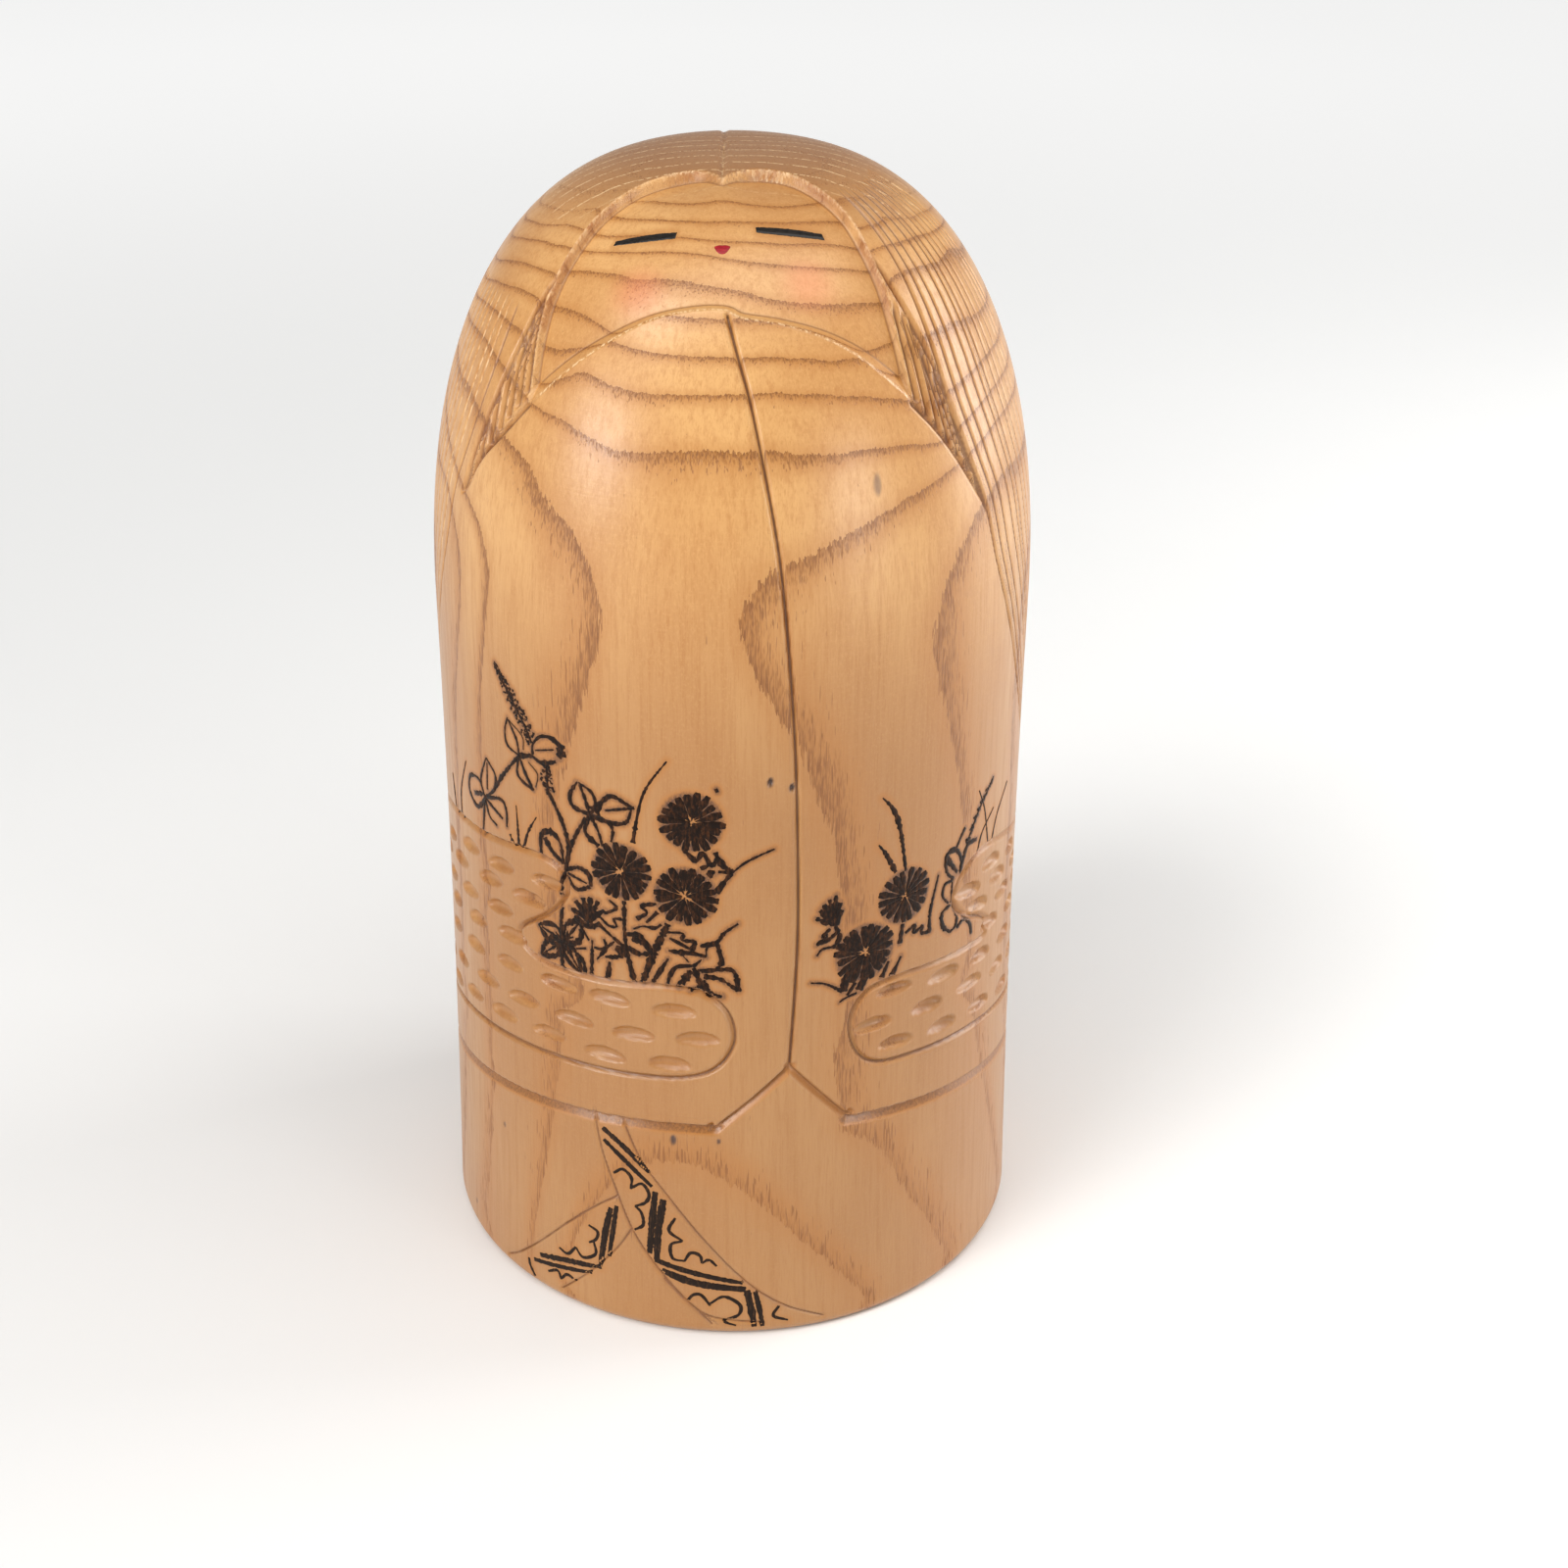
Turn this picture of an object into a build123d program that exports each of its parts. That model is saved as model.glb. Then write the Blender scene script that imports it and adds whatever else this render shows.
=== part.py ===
from build123d import *
import math
import os

os.makedirs("parts", exist_ok=True)

# A turned and carved kokeshi doll. Millimetres, +Z up, origin at the middle of the foot,
# the face looks along -Y. Places on the skin are given as (u, z): u is the distance around
# the doll from the middle of its front, measured on a cylinder of UNROLL_RADIUS, towards +X.

# ---- Driving dimensions: the turned block ----
HEIGHT = 250.0
FOOT_RADIUS = 67.0
SHOULDER_RADIUS = 64.4
SHOULDER_Z = 155.0
DOME_OUT_POWER = 2.75
DOME_UP_POWER = 2.25
DOME_POINTS = 11
FOOT_BEVEL_UP = 3.0
FOOT_BEVEL_IN = 2.4
UNROLL_RADIUS = 65.0
REACH = 90.0  # longer than the block's radius, so a cut starts outside the skin

# ---- Driving dimensions: the carving ----
FACE_DEPTH = 3.2  # how far the face lies below the hair
FACE_TILT = 45.0  # the face looks up by this much
FACE_Z = 190.0  # height of the face plane's origin on the doll's axis
GROOVE_WIDTH = 0.9
GROOVE_DEPTH = 0.8
HAIR_GROOVE_WIDTH = 0.6
HEM_GROOVE_WIDTH = 1.6  # the outer robe's hem is set off by a wider groove
HEM_FRONT_Z = 56.0
HEM_BACK_Z = 31.0
HEM_OPENING = ((-3.0, 55.5), (12.0, 71.0), (25.5, 55.5))
DIMPLE_LENGTH = 8.5
DIMPLE_DEPTH = 0.7
DIMPLE_RADIUS = 7.0  # radius of the gouge's sweep along a dimple
INK_DEPTH = 0.5  # thickness of the ink, lacquer and char layers

# ---- Driving dimensions: the decoration ----
PETALS = 18
PETAL_LENGTH = 5.2
PETAL_WIDTH = 1.25
HEAD_RADIUS = 6.8
STROKE = 0.9  # width of a leaf's or stem's line
BLADE = 0.6  # width of a grass blade
STRIPE = 1.5

DOME_RISE = HEIGHT - SHOULDER_Z
FACE_PLANE = Plane(
    origin=(0, 0, FACE_Z),
    x_dir=(1, 0, 0),
    z_dir=(0, -math.cos(math.radians(FACE_TILT)), math.sin(math.radians(FACE_TILT))),
)


def radius_at(z):
    """Radius of the turned block at a height."""
    if z < SHOULDER_Z:
        below = (SHOULDER_Z - z) / SHOULDER_Z
        return SHOULDER_RADIUS + (FOOT_RADIUS - SHOULDER_RADIUS) * below**2
    up = (z - SHOULDER_Z) / DOME_RISE
    return SHOULDER_RADIUS * (1 - up**DOME_UP_POWER) ** (1 / DOME_OUT_POWER)


def dome_point(turn, depth):
    """A point of the dome's outline, turn degrees up from the shoulder, depth below the skin."""
    out = math.cos(math.radians(turn)) ** (2 / DOME_OUT_POWER) if turn < 90 else 0.0
    up = math.sin(math.radians(turn)) ** (2 / DOME_UP_POWER)
    normal_out = DOME_OUT_POWER / SHOULDER_RADIUS * out ** (DOME_OUT_POWER - 1)
    normal_up = DOME_UP_POWER / DOME_RISE * up ** (DOME_UP_POWER - 1)
    size = math.hypot(normal_out, normal_up)
    return (
        out * SHOULDER_RADIUS - depth * normal_out / size,
        SHOULDER_Z + up * DOME_RISE - depth * normal_up / size,
    )


def turned_form(depth, bevel):
    """The block as it leaves the lathe, with its skin taken down by depth all over."""
    bevel_in = FOOT_BEVEL_IN if bevel else 0.0
    foot = (FOOT_RADIUS - depth - bevel_in, 0)
    side_start = (radius_at(FOOT_BEVEL_UP) - depth, FOOT_BEVEL_UP)
    side_middle = (radius_at(SHOULDER_Z / 2) - depth, SHOULDER_Z / 2)
    dome = [dome_point(90 * i / (DOME_POINTS - 1), depth) for i in range(DOME_POINTS)]
    with BuildPart() as form:
        with BuildSketch(Plane.XZ):
            with BuildLine():
                Polyline((0, 0), foot, side_start)
                ThreePointArc(side_start, side_middle, dome[0])
                Spline(*dome, tangents=((0, 1), (-1, 0)))
                Line(dome[-1], (0, 0))
            make_face()
        revolve(axis=Axis.Z)
    return form.part


def facing(degrees):
    """The plane on the doll's axis that looks out at this angle from the front."""
    turn = math.radians(degrees)
    return Plane(
        origin=(0, 0, 0),
        x_dir=(math.cos(turn), math.sin(turn), 0),
        z_dir=(math.sin(turn), -math.cos(turn), 0),
    )


def seen_from(degrees, *places):
    """Places (u, z) on the skin as points of the plane facing(degrees)."""
    points = []
    for u, z in places:
        turn = u / UNROLL_RADIUS - math.radians(degrees)
        points.append((radius_at(z) * math.sin(turn), z))
    return points


# Layers of the block, each the whole form with its skin taken down
skin = turned_form(0, bevel=True)
below_groove = turned_form(GROOVE_DEPTH, bevel=False)
below_face = turned_form(FACE_DEPTH, bevel=False)
with BuildPart() as skin_layer:
    add(skin)
    add(turned_form(INK_DEPTH, bevel=False), mode=Mode.SUBTRACT)
with BuildPart() as face_layer:
    add(below_face)
    add(turned_form(FACE_DEPTH + INK_DEPTH, bevel=False), mode=Mode.SUBTRACT)

# ---- Carving: the face, let in below the hair cap and the collar ----
hairline_left = ((-39.5, -14.5), (-37, 0), (-31, 13), (-18, 27), (-8, 29.5), (-2, 25.5))
hairline_right = ((-2, 25.5), (6, 30), (20, 21.5), (29, 4), (32.5, -8), (34.5, -15))
collar = ((34.5, -15), (22, -10), (8, -7), (-1.5, -5), (-12, -5.5), (-26, -9), (-39.5, -14.5))
with BuildPart() as face_cut:
    with BuildSketch(FACE_PLANE):
        with BuildLine():
            Spline(*hairline_left)
            Spline(*hairline_right)
            Spline(*collar)
        make_face()
    extrude(amount=REACH)
    add(below_face, mode=Mode.SUBTRACT)

# ---- Carving: the outer robe's hem, a tilted ring that rises into a V at the front ----
hem_middle = (HEM_FRONT_Z + HEM_BACK_Z) / 2
hem_drop = math.degrees(math.atan2(HEM_FRONT_Z - HEM_BACK_Z, 2 * FOOT_RADIUS))
hem_plane = Plane.XY.offset(hem_middle).rotated((-hem_drop, 0, 0))
with BuildPart() as hem_cut:
    with BuildSketch(hem_plane):
        Circle(REACH)
    extrude(amount=-HEM_GROOVE_WIDTH)
    with BuildSketch(facing(0)):
        with BuildLine():
            Polyline(*seen_from(0, *HEM_OPENING), close=True)
        make_face()
    extrude(amount=REACH, mode=Mode.SUBTRACT)
    with BuildSketch(facing(0)):
        with BuildLine():
            Polyline(*seen_from(0, *HEM_OPENING))
        trace(line_width=HEM_GROOVE_WIDTH)
    extrude(amount=REACH)
    add(below_groove, mode=Mode.SUBTRACT)

# ---- Carving: long grooves on the outer robe and the hair ----
with BuildPart() as seam_cut:
    with BuildSketch(facing(0)):
        with BuildLine():
            Spline(*seen_from(0, (-1, 229), (4, 215), (10, 180), (13.5, 110), (12, 71)))
        trace(line_width=GROOVE_WIDTH)
    extrude(amount=REACH)
    add(below_groove, mode=Mode.SUBTRACT)

PARTING_X = -1.8
PARTING_FRONT = -30.0
PARTING_BACK = 55.0
with BuildPart() as parting_cut:
    with BuildSketch(Plane.XY.offset(SHOULDER_Z)):
        with Locations((PARTING_X, (PARTING_FRONT + PARTING_BACK) / 2)):
            Rectangle(GROOVE_WIDTH, PARTING_BACK - PARTING_FRONT)
    extrude(amount=REACH + DOME_RISE)
    add(below_groove, mode=Mode.SUBTRACT)

HAIR_GROOVES = 6
HAIR_GROOVE_PITCH = 4.5
HAIR_FACING = 78.0
hair_cuts = []
for side in (-1, 1):
    with BuildPart() as hair_cut:
        with BuildSketch(facing(side * HAIR_FACING)):
            for i in range(HAIR_GROOVES):
                shift = i * HAIR_GROOVE_PITCH
                strand = (
                    (side * (56 + shift), 200),
                    (side * (63 + shift), 178),
                    (side * (74 + shift), 152),
                    (side * (88 + shift), 128),
                )
                with BuildLine():
                    Spline(*seen_from(side * HAIR_FACING, *strand))
                trace(line_width=HAIR_GROOVE_WIDTH)
        extrude(amount=REACH)
        add(below_groove, mode=Mode.SUBTRACT)
    hair_cuts.append(hair_cut.part)

HAIR_CORNERS = (
    (-62, (-50, 211), (-59, 200), (-68, 191)),
    (50, (43, 211), (52, 200), (58, 193)),
)
for angle, *corner in HAIR_CORNERS:
    with BuildPart() as corner_cut:
        with BuildSketch(facing(angle)):
            with BuildLine():
                Spline(*seen_from(angle, *corner))
            trace(line_width=GROOVE_WIDTH)
        extrude(amount=REACH)
        add(below_groove, mode=Mode.SUBTRACT)
    hair_cuts.append(corner_cut.part)

# ---- Carving: the two bands of cloud, outlined by a groove and filled with gouge dimples ----
LEFT_BAND = (
    (-110, 98), (-80, 110), (-50, 115), (-38, 112.5), (-39, 104),
    (-49, 95), (-45, 89.5), (-12, 90), (-1, 84), (-3, 71), (-16, 67.5), (-60, 64), (-110, 50),
)
LEFT_BAND_FACING = -52.0
RIGHT_BAND_UPPER = ((100, 98), (78, 106), (60, 107.5), (53.5, 100), (60, 92), (68, 86))
RIGHT_BAND_LOWER = ((68, 86), (36, 88), (27.5, 82), (29, 72), (40, 66.5), (70, 62), (100, 52))
RIGHT_BAND_FACING = 62.0
with BuildPart() as left_band_cut:
    with BuildSketch(facing(LEFT_BAND_FACING)):
        with BuildLine():
            Spline(*seen_from(LEFT_BAND_FACING, *LEFT_BAND))
        trace(line_width=GROOVE_WIDTH)
    extrude(amount=REACH)
    add(below_groove, mode=Mode.SUBTRACT)

with BuildPart() as right_band_cut:
    with BuildSketch(facing(RIGHT_BAND_FACING)):
        for run in (RIGHT_BAND_UPPER, RIGHT_BAND_LOWER):
            with BuildLine():
                Spline(*seen_from(RIGHT_BAND_FACING, *run))
            trace(line_width=GROOVE_WIDTH)
    extrude(amount=REACH)
    add(below_groove, mode=Mode.SUBTRACT)

# Rows of dimples: (first u, z there, number, pitch along u, fall of z from one to the next)
DIMPLE_ROWS = (
    (-46, 110, 4, -14.0, -0.8),
    (-48, 103, 4, -14.0, -0.9),
    (-57, 97, 4, -14.0, -1.2),
    (-58, 90, 4, -14.0, -1.4),
    (-12, 84, 7, -14.0, -0.9),
    (-20, 78, 7, -13.5, -0.9),
    (-12, 72.5, 7, -14.0, -1.0),
    (62, 102, 3, 14.0, -1.5),
    (68, 95, 3, 14.0, -1.7),
    (37, 83, 5, 14.0, -1.2),
    (43, 76, 5, 14.0, -1.4),
    (38, 71, 5, 14.0, -1.4),
)
with BuildPart() as dimple:
    with BuildSketch(Plane.XZ):
        with BuildLine():
            start = (-DIMPLE_LENGTH / 2, 0)
            end = (DIMPLE_LENGTH / 2, 0)
            ThreePointArc(start, (0, DIMPLE_LENGTH**2 / (8 * DIMPLE_RADIUS)), end)
            Line(end, start)
        make_face()
    revolve(axis=Axis.X)

dimple_cuts = []
for first_u, first_z, number, pitch, fall in DIMPLE_ROWS:
    for i in range(number):
        u = first_u + i * pitch
        z = first_z + i * fall
        turn = math.degrees(u / UNROLL_RADIUS)
        tilt = math.degrees(math.atan2(fall, pitch))
        out = radius_at(z) + DIMPLE_LENGTH**2 / (8 * DIMPLE_RADIUS) - DIMPLE_DEPTH
        place = facing(turn).offset(out)
        dimple_cuts.append(place.from_local_coords(dimple.part.rotate(Axis.Z, tilt).moved(Pos(0, z, 0))))

# ---- Carving: the folds of the under robe ----
FOLDS = (
    ((-30.5, 55), (-26, 37), (-14, 14), (-4, 3)),
    ((-24, 55), (-14, 37), (2, 17), (14, 3)),
    ((-26, 34), (-36, 25), (-50, 11), (-58, 3)),
    ((-22, 26), (-31, 13), (-38, 3)),
)
FOLD_FACING = -20.0
with BuildPart() as fold_cut:
    with BuildSketch(facing(FOLD_FACING)):
        for fold in FOLDS:
            with BuildLine():
                Spline(*seen_from(FOLD_FACING, *fold))
            trace(line_width=HAIR_GROOVE_WIDTH)
    extrude(amount=REACH)
    add(below_groove, mode=Mode.SUBTRACT)

# The carved block, before the ink and char are let in
carvings = [
    face_cut.part, hem_cut.part, seam_cut.part, parting_cut.part,
    left_band_cut.part, right_band_cut.part, fold_cut.part,
]
with BuildPart() as carved:
    add(skin)
    add(carvings, mode=Mode.SUBTRACT)
    add(hair_cuts, mode=Mode.SUBTRACT)
    add(dimple_cuts, mode=Mode.SUBTRACT)


def on_skin(u, z):
    """The plane that touches the skin at (u, z)."""
    turn = math.degrees(u / UNROLL_RADIUS)
    plane = facing(turn)
    return Plane(
        origin=plane.from_local_coords((0, z, radius_at(z))),
        x_dir=plane.x_dir,
        z_dir=plane.z_dir,
    )


layers = {}  # every thin layer let into the block, by name


def let_in(name, layer):
    """Names a finished layer, writes it and keeps it for the block's pocket."""
    layer.label = name
    export_step(layer, f"parts/{name}.step")
    layers[name] = layer


# ---- Face: two eye strokes and a half-round mouth, let into the face ----
EYE_LENGTH = 12.6
EYE_WIDTH = 1.3
EYES = {"left_eye_ink": (-17.0, 12.2, -3.0), "right_eye_ink": (11.4, 12.8, 0.0)}
for name, (x, y, lean) in EYES.items():
    with BuildPart() as eye:
        with BuildSketch(FACE_PLANE):
            with Locations((x, y)):
                SlotOverall(EYE_LENGTH, EYE_WIDTH, rotation=lean)
        extrude(amount=REACH)
        add(face_layer.part, mode=Mode.INTERSECT)
    let_in(name, eye.part)

MOUTH_X = -2.0
MOUTH_Y = 8.8
MOUTH_WIDTH = 2.8
MOUTH_DROP = 1.7
with BuildPart() as lip_lacquer:
    with BuildSketch(FACE_PLANE):
        with BuildLine():
            left = (MOUTH_X - MOUTH_WIDTH / 2, MOUTH_Y)
            right = (MOUTH_X + MOUTH_WIDTH / 2, MOUTH_Y)
            ThreePointArc(left, (MOUTH_X, MOUTH_Y - MOUTH_DROP), right)
            Line(right, left)
        make_face()
    extrude(amount=REACH)
    add(face_layer.part, mode=Mode.INTERSECT)
let_in("lip_lacquer", lip_lacquer.part)

# ---- Flower heads: a ring of petals burned into the wood, one head to a piece ----
HEADS = {
    "flower_head_left_upper": (-8.5, 130.5),
    "flower_head_left_middle": (-24.0, 117.0),
    "flower_head_left_lower": (-9.5, 112.5),
    "flower_head_right_upper": (38.5, 107.0),
    "flower_head_right_lower": (29.0, 97.0),
}
for name, (u, z) in HEADS.items():
    with BuildPart() as head:
        with BuildSketch(on_skin(u, z)):
            with PolarLocations(HEAD_RADIUS - PETAL_LENGTH / 2, PETALS):
                SlotOverall(PETAL_LENGTH, PETAL_WIDTH)
        extrude(amount=HEAD_RADIUS, both=True)
        add(skin_layer.part, mode=Mode.INTERSECT)
    let_in(name, head.part)

# ---- Sprays of leaves: (base u, base z, tip u, tip z, width), stems and blades of grass ----
LEAVES = {
    "leaf_spray_left_upper": (
        (-48.5, 136.5, -52.5, 144.5, 4.5), (-45, 138.5, -36.5, 142, 5), (-48, 136, -44.5, 130, 4),
        (-61, 122, -60, 132, 5), (-61, 122, -69.5, 118.5, 5), (-61, 122, -53.5, 118.5, 4.5),
        (-30, 129, -34.5, 135.8, 5), (-29, 129.5, -20.5, 132.5, 5), (-30, 128, -26.5, 121.5, 5),
        (-37, 115, -43, 118, 5), (-37, 114.5, -30, 111.5, 4),
    ),
    "leaf_spray_left_lower": (
        (-38, 96.5, -44, 97.5, 5), (-38, 96.5, -33, 102.5, 5), (-38, 96.5, -42, 91.5, 4),
        (-37, 95, -33.5, 90.5, 4), (-9, 96.5, -14, 91.5, 4), (-7, 96, 1.3, 91, 5),
        (-20, 104, -27, 99, 3), (-14, 104, -7, 101.5, 3), (-22, 108, -30, 104.5, 4),
    ),
    "leaf_spray_right": (
        (55, 106, 49.5, 113, 4), (55, 106.5, 61.5, 112.5, 3), (54.5, 105.5, 49.5, 101.5, 3.5),
        (52, 100, 51.5, 93.5, 4.5), (53, 94, 60.5, 90, 4),
        (24.5, 103, 17.5, 101, 2.5), (25, 91, 20, 88, 2.5),
    ),
}
STEMS = {
    "leaf_spray_left_upper": (
        (STROKE, (-48.5, 136.5), (-53, 131.5), (-58.5, 124.5)), (STROKE, (-61, 122), (-62, 118), (-63, 113)),
        (STROKE, (-41.5, 133), (-38, 126), (-36.5, 115.5)), (STROKE, (-31.5, 127.5), (-34.5, 122), (-36.5, 115.5)),
        (2.2, (-55, 155), (-50, 149.5), (-44, 144)), (1.8, (-41, 137), (-41, 135), (-41.5, 132.5)),
    ),
    "leaf_spray_left_lower": (
        (STROKE, (-24, 110), (-22.5, 101), (-20.5, 91.5)), (1.3, (-13.5, 106), (-16.5, 98), (-19.5, 91.5)),
        (STROKE, (-38, 104), (-38, 100), (-38, 90)), (STROKE, (-31, 99), (-31, 95), (-31.5, 91)),
        (STROKE, (0.5, 107), (-4, 103), (-3, 97)),
    ),
    "leaf_spray_right": (
        (1.6, (54.5, 114.5), (59, 118.5), (66, 122)), (STROKE, (55, 112), (55, 109), (55, 106)),
        (1.8, (17.5, 107), (20.5, 108.5), (22, 110.5)), (STROKE, (21, 106), (22.5, 104), (24, 102)),
    ),
    "grass_left": (
        (BLADE, (-13.5, 143.5), (-18, 137), (-20.5, 126)), (BLADE, (-71, 126), (-74, 119), (-75, 111)),
        (BLADE, (-50, 121.5), (-49.5, 118), (-49.8, 115.5)), (BLADE, (-45, 122), (-47.5, 118), (-48.5, 115.5)),
    ),
    "grass_right": (
        (BLADE, (32, 132.5), (36.5, 124), (38.2, 115)), (BLADE, (31.5, 121), (34, 117), (35.3, 114.6)),
        (BLADE, (47, 108), (46, 104), (45.3, 98)), (BLADE, (67, 116.5), (63, 113), (60, 109.5)),
        (BLADE, (62, 121), (64.5, 115), (66, 109.5)), (BLADE, (77, 119.5), (71, 115), (67.5, 109)),
    ),
}
SPRAY_FACING = {
    "leaf_spray_left_upper": -40.0,
    "leaf_spray_left_lower": -18.0,
    "leaf_spray_right": 38.0,
    "grass_left": -38.0,
    "grass_right": 45.0,
}
for name, angle in SPRAY_FACING.items():
    with BuildPart() as spray:
        with BuildSketch(facing(angle)):
            for base_u, base_z, tip_u, tip_z, width in LEAVES.get(name, ()):
                base, tip = seen_from(angle, (base_u, base_z), (tip_u, tip_z))
                length = math.dist(base, tip)
                across = ((base[1] - tip[1]) / length, (tip[0] - base[0]) / length)
                middle = ((base[0] + tip[0]) / 2, (base[1] + tip[1]) / 2)
                with BuildLine():
                    for side in (-0.5, 0.5):
                        bulge = (middle[0] + across[0] * side * width, middle[1] + across[1] * side * width)
                        ThreePointArc(base, bulge, tip)
                trace(line_width=STROKE)
            for stroke_width, *run in STEMS[name]:
                with BuildLine():
                    Spline(*seen_from(angle, *run))
                trace(line_width=stroke_width)
        extrude(amount=REACH)
        add(skin_layer.part, mode=Mode.INTERSECT)
        for earlier in list(layers.values()):
            add(earlier, mode=Mode.SUBTRACT)
    let_in(name, spray.part)

# ---- Under robe: double stripes and scallops inked along its folds ----
STRIPES = (
    ((-28.5, 51.5), (-18, 43)), ((-29, 48.5), (-17.5, 39)),
    ((-17.5, 36.5), (-18.6, 19.5)), ((-15.6, 35), (-16.4, 20.5)),
    ((-17, 17.2), (2, 13.8)), ((-15, 19.4), (3, 16)),
    ((4, 12.5), (6.5, 3)), ((6.2, 11.5), (8.6, 3)),
    ((-26.2, 31.5), (-29, 18.5)), ((-28.5, 29.5), (-31, 16)),
    ((-31.5, 13.8), (-47, 8.6)), ((-33, 11.6), (-48.5, 6.4)),
)
SCALLOPS = (
    ((-26.5, 41), (-22.5, 39), (-19.5, 34), (-21.5, 30), (-21, 26.5)),
    ((-13, 31.5), (-11.5, 26.5), (-13, 21.5), (-8, 22), (-4.5, 20)),
    ((-32, 24), (-32, 18.5), (-36.5, 15.5), (-41.5, 14)),
    ((-9, 10.5), (-3, 10), (0, 6), (-1, 3.5)),
)
SCALLOP_BULGE = 1.3
with BuildPart() as under_robe_pattern:
    with BuildSketch(facing(FOLD_FACING)):
        for stripe in STRIPES:
            with BuildLine():
                Line(*seen_from(FOLD_FACING, *stripe))
            trace(line_width=STRIPE)
        for scallop in SCALLOPS:
            points = seen_from(FOLD_FACING, *scallop)
            for start, end in zip(points, points[1:]):
                with BuildLine():
                    SagittaArc(start, end, SCALLOP_BULGE)
                trace(line_width=STROKE)
    extrude(amount=REACH)
    add(skin_layer.part, mode=Mode.INTERSECT)
    add(fold_cut.part, mode=Mode.SUBTRACT)
let_in("under_robe_pattern", under_robe_pattern.part)

# ---- The block itself, with a pocket for every layer ----
with BuildPart() as carved_block:
    add(carved.part)
    add(list(layers.values()), mode=Mode.SUBTRACT)
carved_block.part.label = "carved_block"
export_step(carved_block.part, "parts/carved_block.step")
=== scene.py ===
import math
from types import SimpleNamespace

import bpy
import numpy as np
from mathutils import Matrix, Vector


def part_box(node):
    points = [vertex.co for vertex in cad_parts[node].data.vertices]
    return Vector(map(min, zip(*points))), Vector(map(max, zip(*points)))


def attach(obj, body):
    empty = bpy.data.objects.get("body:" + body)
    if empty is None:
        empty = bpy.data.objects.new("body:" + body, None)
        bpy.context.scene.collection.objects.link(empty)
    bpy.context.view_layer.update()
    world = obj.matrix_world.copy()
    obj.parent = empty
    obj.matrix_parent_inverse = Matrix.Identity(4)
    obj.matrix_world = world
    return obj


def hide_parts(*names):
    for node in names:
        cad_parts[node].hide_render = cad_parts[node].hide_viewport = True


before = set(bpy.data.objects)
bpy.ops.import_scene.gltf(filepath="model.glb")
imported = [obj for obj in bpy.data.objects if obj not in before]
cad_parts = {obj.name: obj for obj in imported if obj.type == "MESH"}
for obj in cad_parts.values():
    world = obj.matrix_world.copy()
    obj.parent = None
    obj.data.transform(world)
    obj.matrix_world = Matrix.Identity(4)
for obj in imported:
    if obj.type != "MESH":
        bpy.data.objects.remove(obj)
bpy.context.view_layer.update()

# A kokeshi doll turned and carved from one block of ring-porous wood. The block's skin is a grid
# of rows (heights) and columns (angles) that is pushed in wherever the carver's tools went.
# Numbers are in millimetres until a mesh is made. A place on the skin is (u, z): u is the distance
# around the doll from the middle of its front, on a cylinder of UNROLL_RADIUS, and z the height.
# A place on the face is (x, v) on a plane that leans back by FACE_TILT.

MM = 0.001
RNG = np.random.default_rng(20)

# ---- The turned form, as in the CAD part ----
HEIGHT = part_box("carved_block")[1].z / MM
FOOT_RADIUS = 67.0
SHOULDER_RADIUS = 64.4
SHOULDER_Z = 155.0
DOME_OUT_POWER = 2.75
DOME_UP_POWER = 2.25
FOOT_BEVEL_UP = 3.0
FOOT_BEVEL_IN = 2.4
DOME_RISE = HEIGHT - SHOULDER_Z
UNROLL_RADIUS = 65.0
FACE_TILT = math.radians(45)
FACE_Z = 190.0

# ---- Grid of the skin ----
FINE, MIDDLING, COARSE = 0.38, 0.55, 0.75  # spacing on carved, half-plain and plain skin
FRONT_HALF_ANGLE = math.radians(97)
SAMPLES = 4000  # points of the profile that the rows are measured along
COLUMN_BLOCK = 64  # the number of columns is a multiple of this, so that it can be halved


def smoothstep(low, high, value):
    """0 below low, 1 above high, and a smooth ramp between."""
    t = np.clip((value - low) / (high - low), 0, 1)
    return t * t * (3 - 2 * t)


def skin_radius(z):
    """Radius of the turned form at heights z."""
    z = np.asarray(z, float)
    below = np.clip((SHOULDER_Z - z) / SHOULDER_Z, 0, 1)
    side = SHOULDER_RADIUS + (FOOT_RADIUS - SHOULDER_RADIUS) * below**2
    up = np.clip((z - SHOULDER_Z) / DOME_RISE, 0, 1)
    dome = SHOULDER_RADIUS * (1 - up**DOME_UP_POWER) ** (1 / DOME_OUT_POWER)
    return np.where(z < SHOULDER_Z, side, dome)


def row_spacing(z, radius):
    """How far apart rows of the grid are at a height."""
    if 150 < z < 186:  # the plain chest
        return COARSE
    crown = z > 225 and radius < 22
    return MIDDLING if crown or 118 < z < 150 else FINE


def profile_rows():
    """Heights and radii of the rows, from the top of the foot's bevel to the pole."""
    turn = np.linspace(0, math.pi / 2, SAMPLES)
    dome_z = SHOULDER_Z + DOME_RISE * np.sin(turn) ** (2 / DOME_UP_POWER)
    dome_r = SHOULDER_RADIUS * np.clip(np.cos(turn), 0, 1) ** (2 / DOME_OUT_POWER)
    side_z = np.linspace(FOOT_BEVEL_UP, SHOULDER_Z, SAMPLES)[:-1]
    z = np.concatenate([side_z, dome_z])
    r = np.concatenate([skin_radius(side_z), dome_r])
    length = np.concatenate([[0], np.cumsum(np.hypot(np.diff(z), np.diff(r)))])
    wanted = [0.0]
    while wanted[-1] < length[-1] - FINE:
        here = wanted[-1]
        wanted.append(here + row_spacing(np.interp(here, length, z), np.interp(here, length, r)))
    wanted[-1] = length[-1]
    return np.interp(wanted, length, z), np.interp(wanted, length, r)


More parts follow.
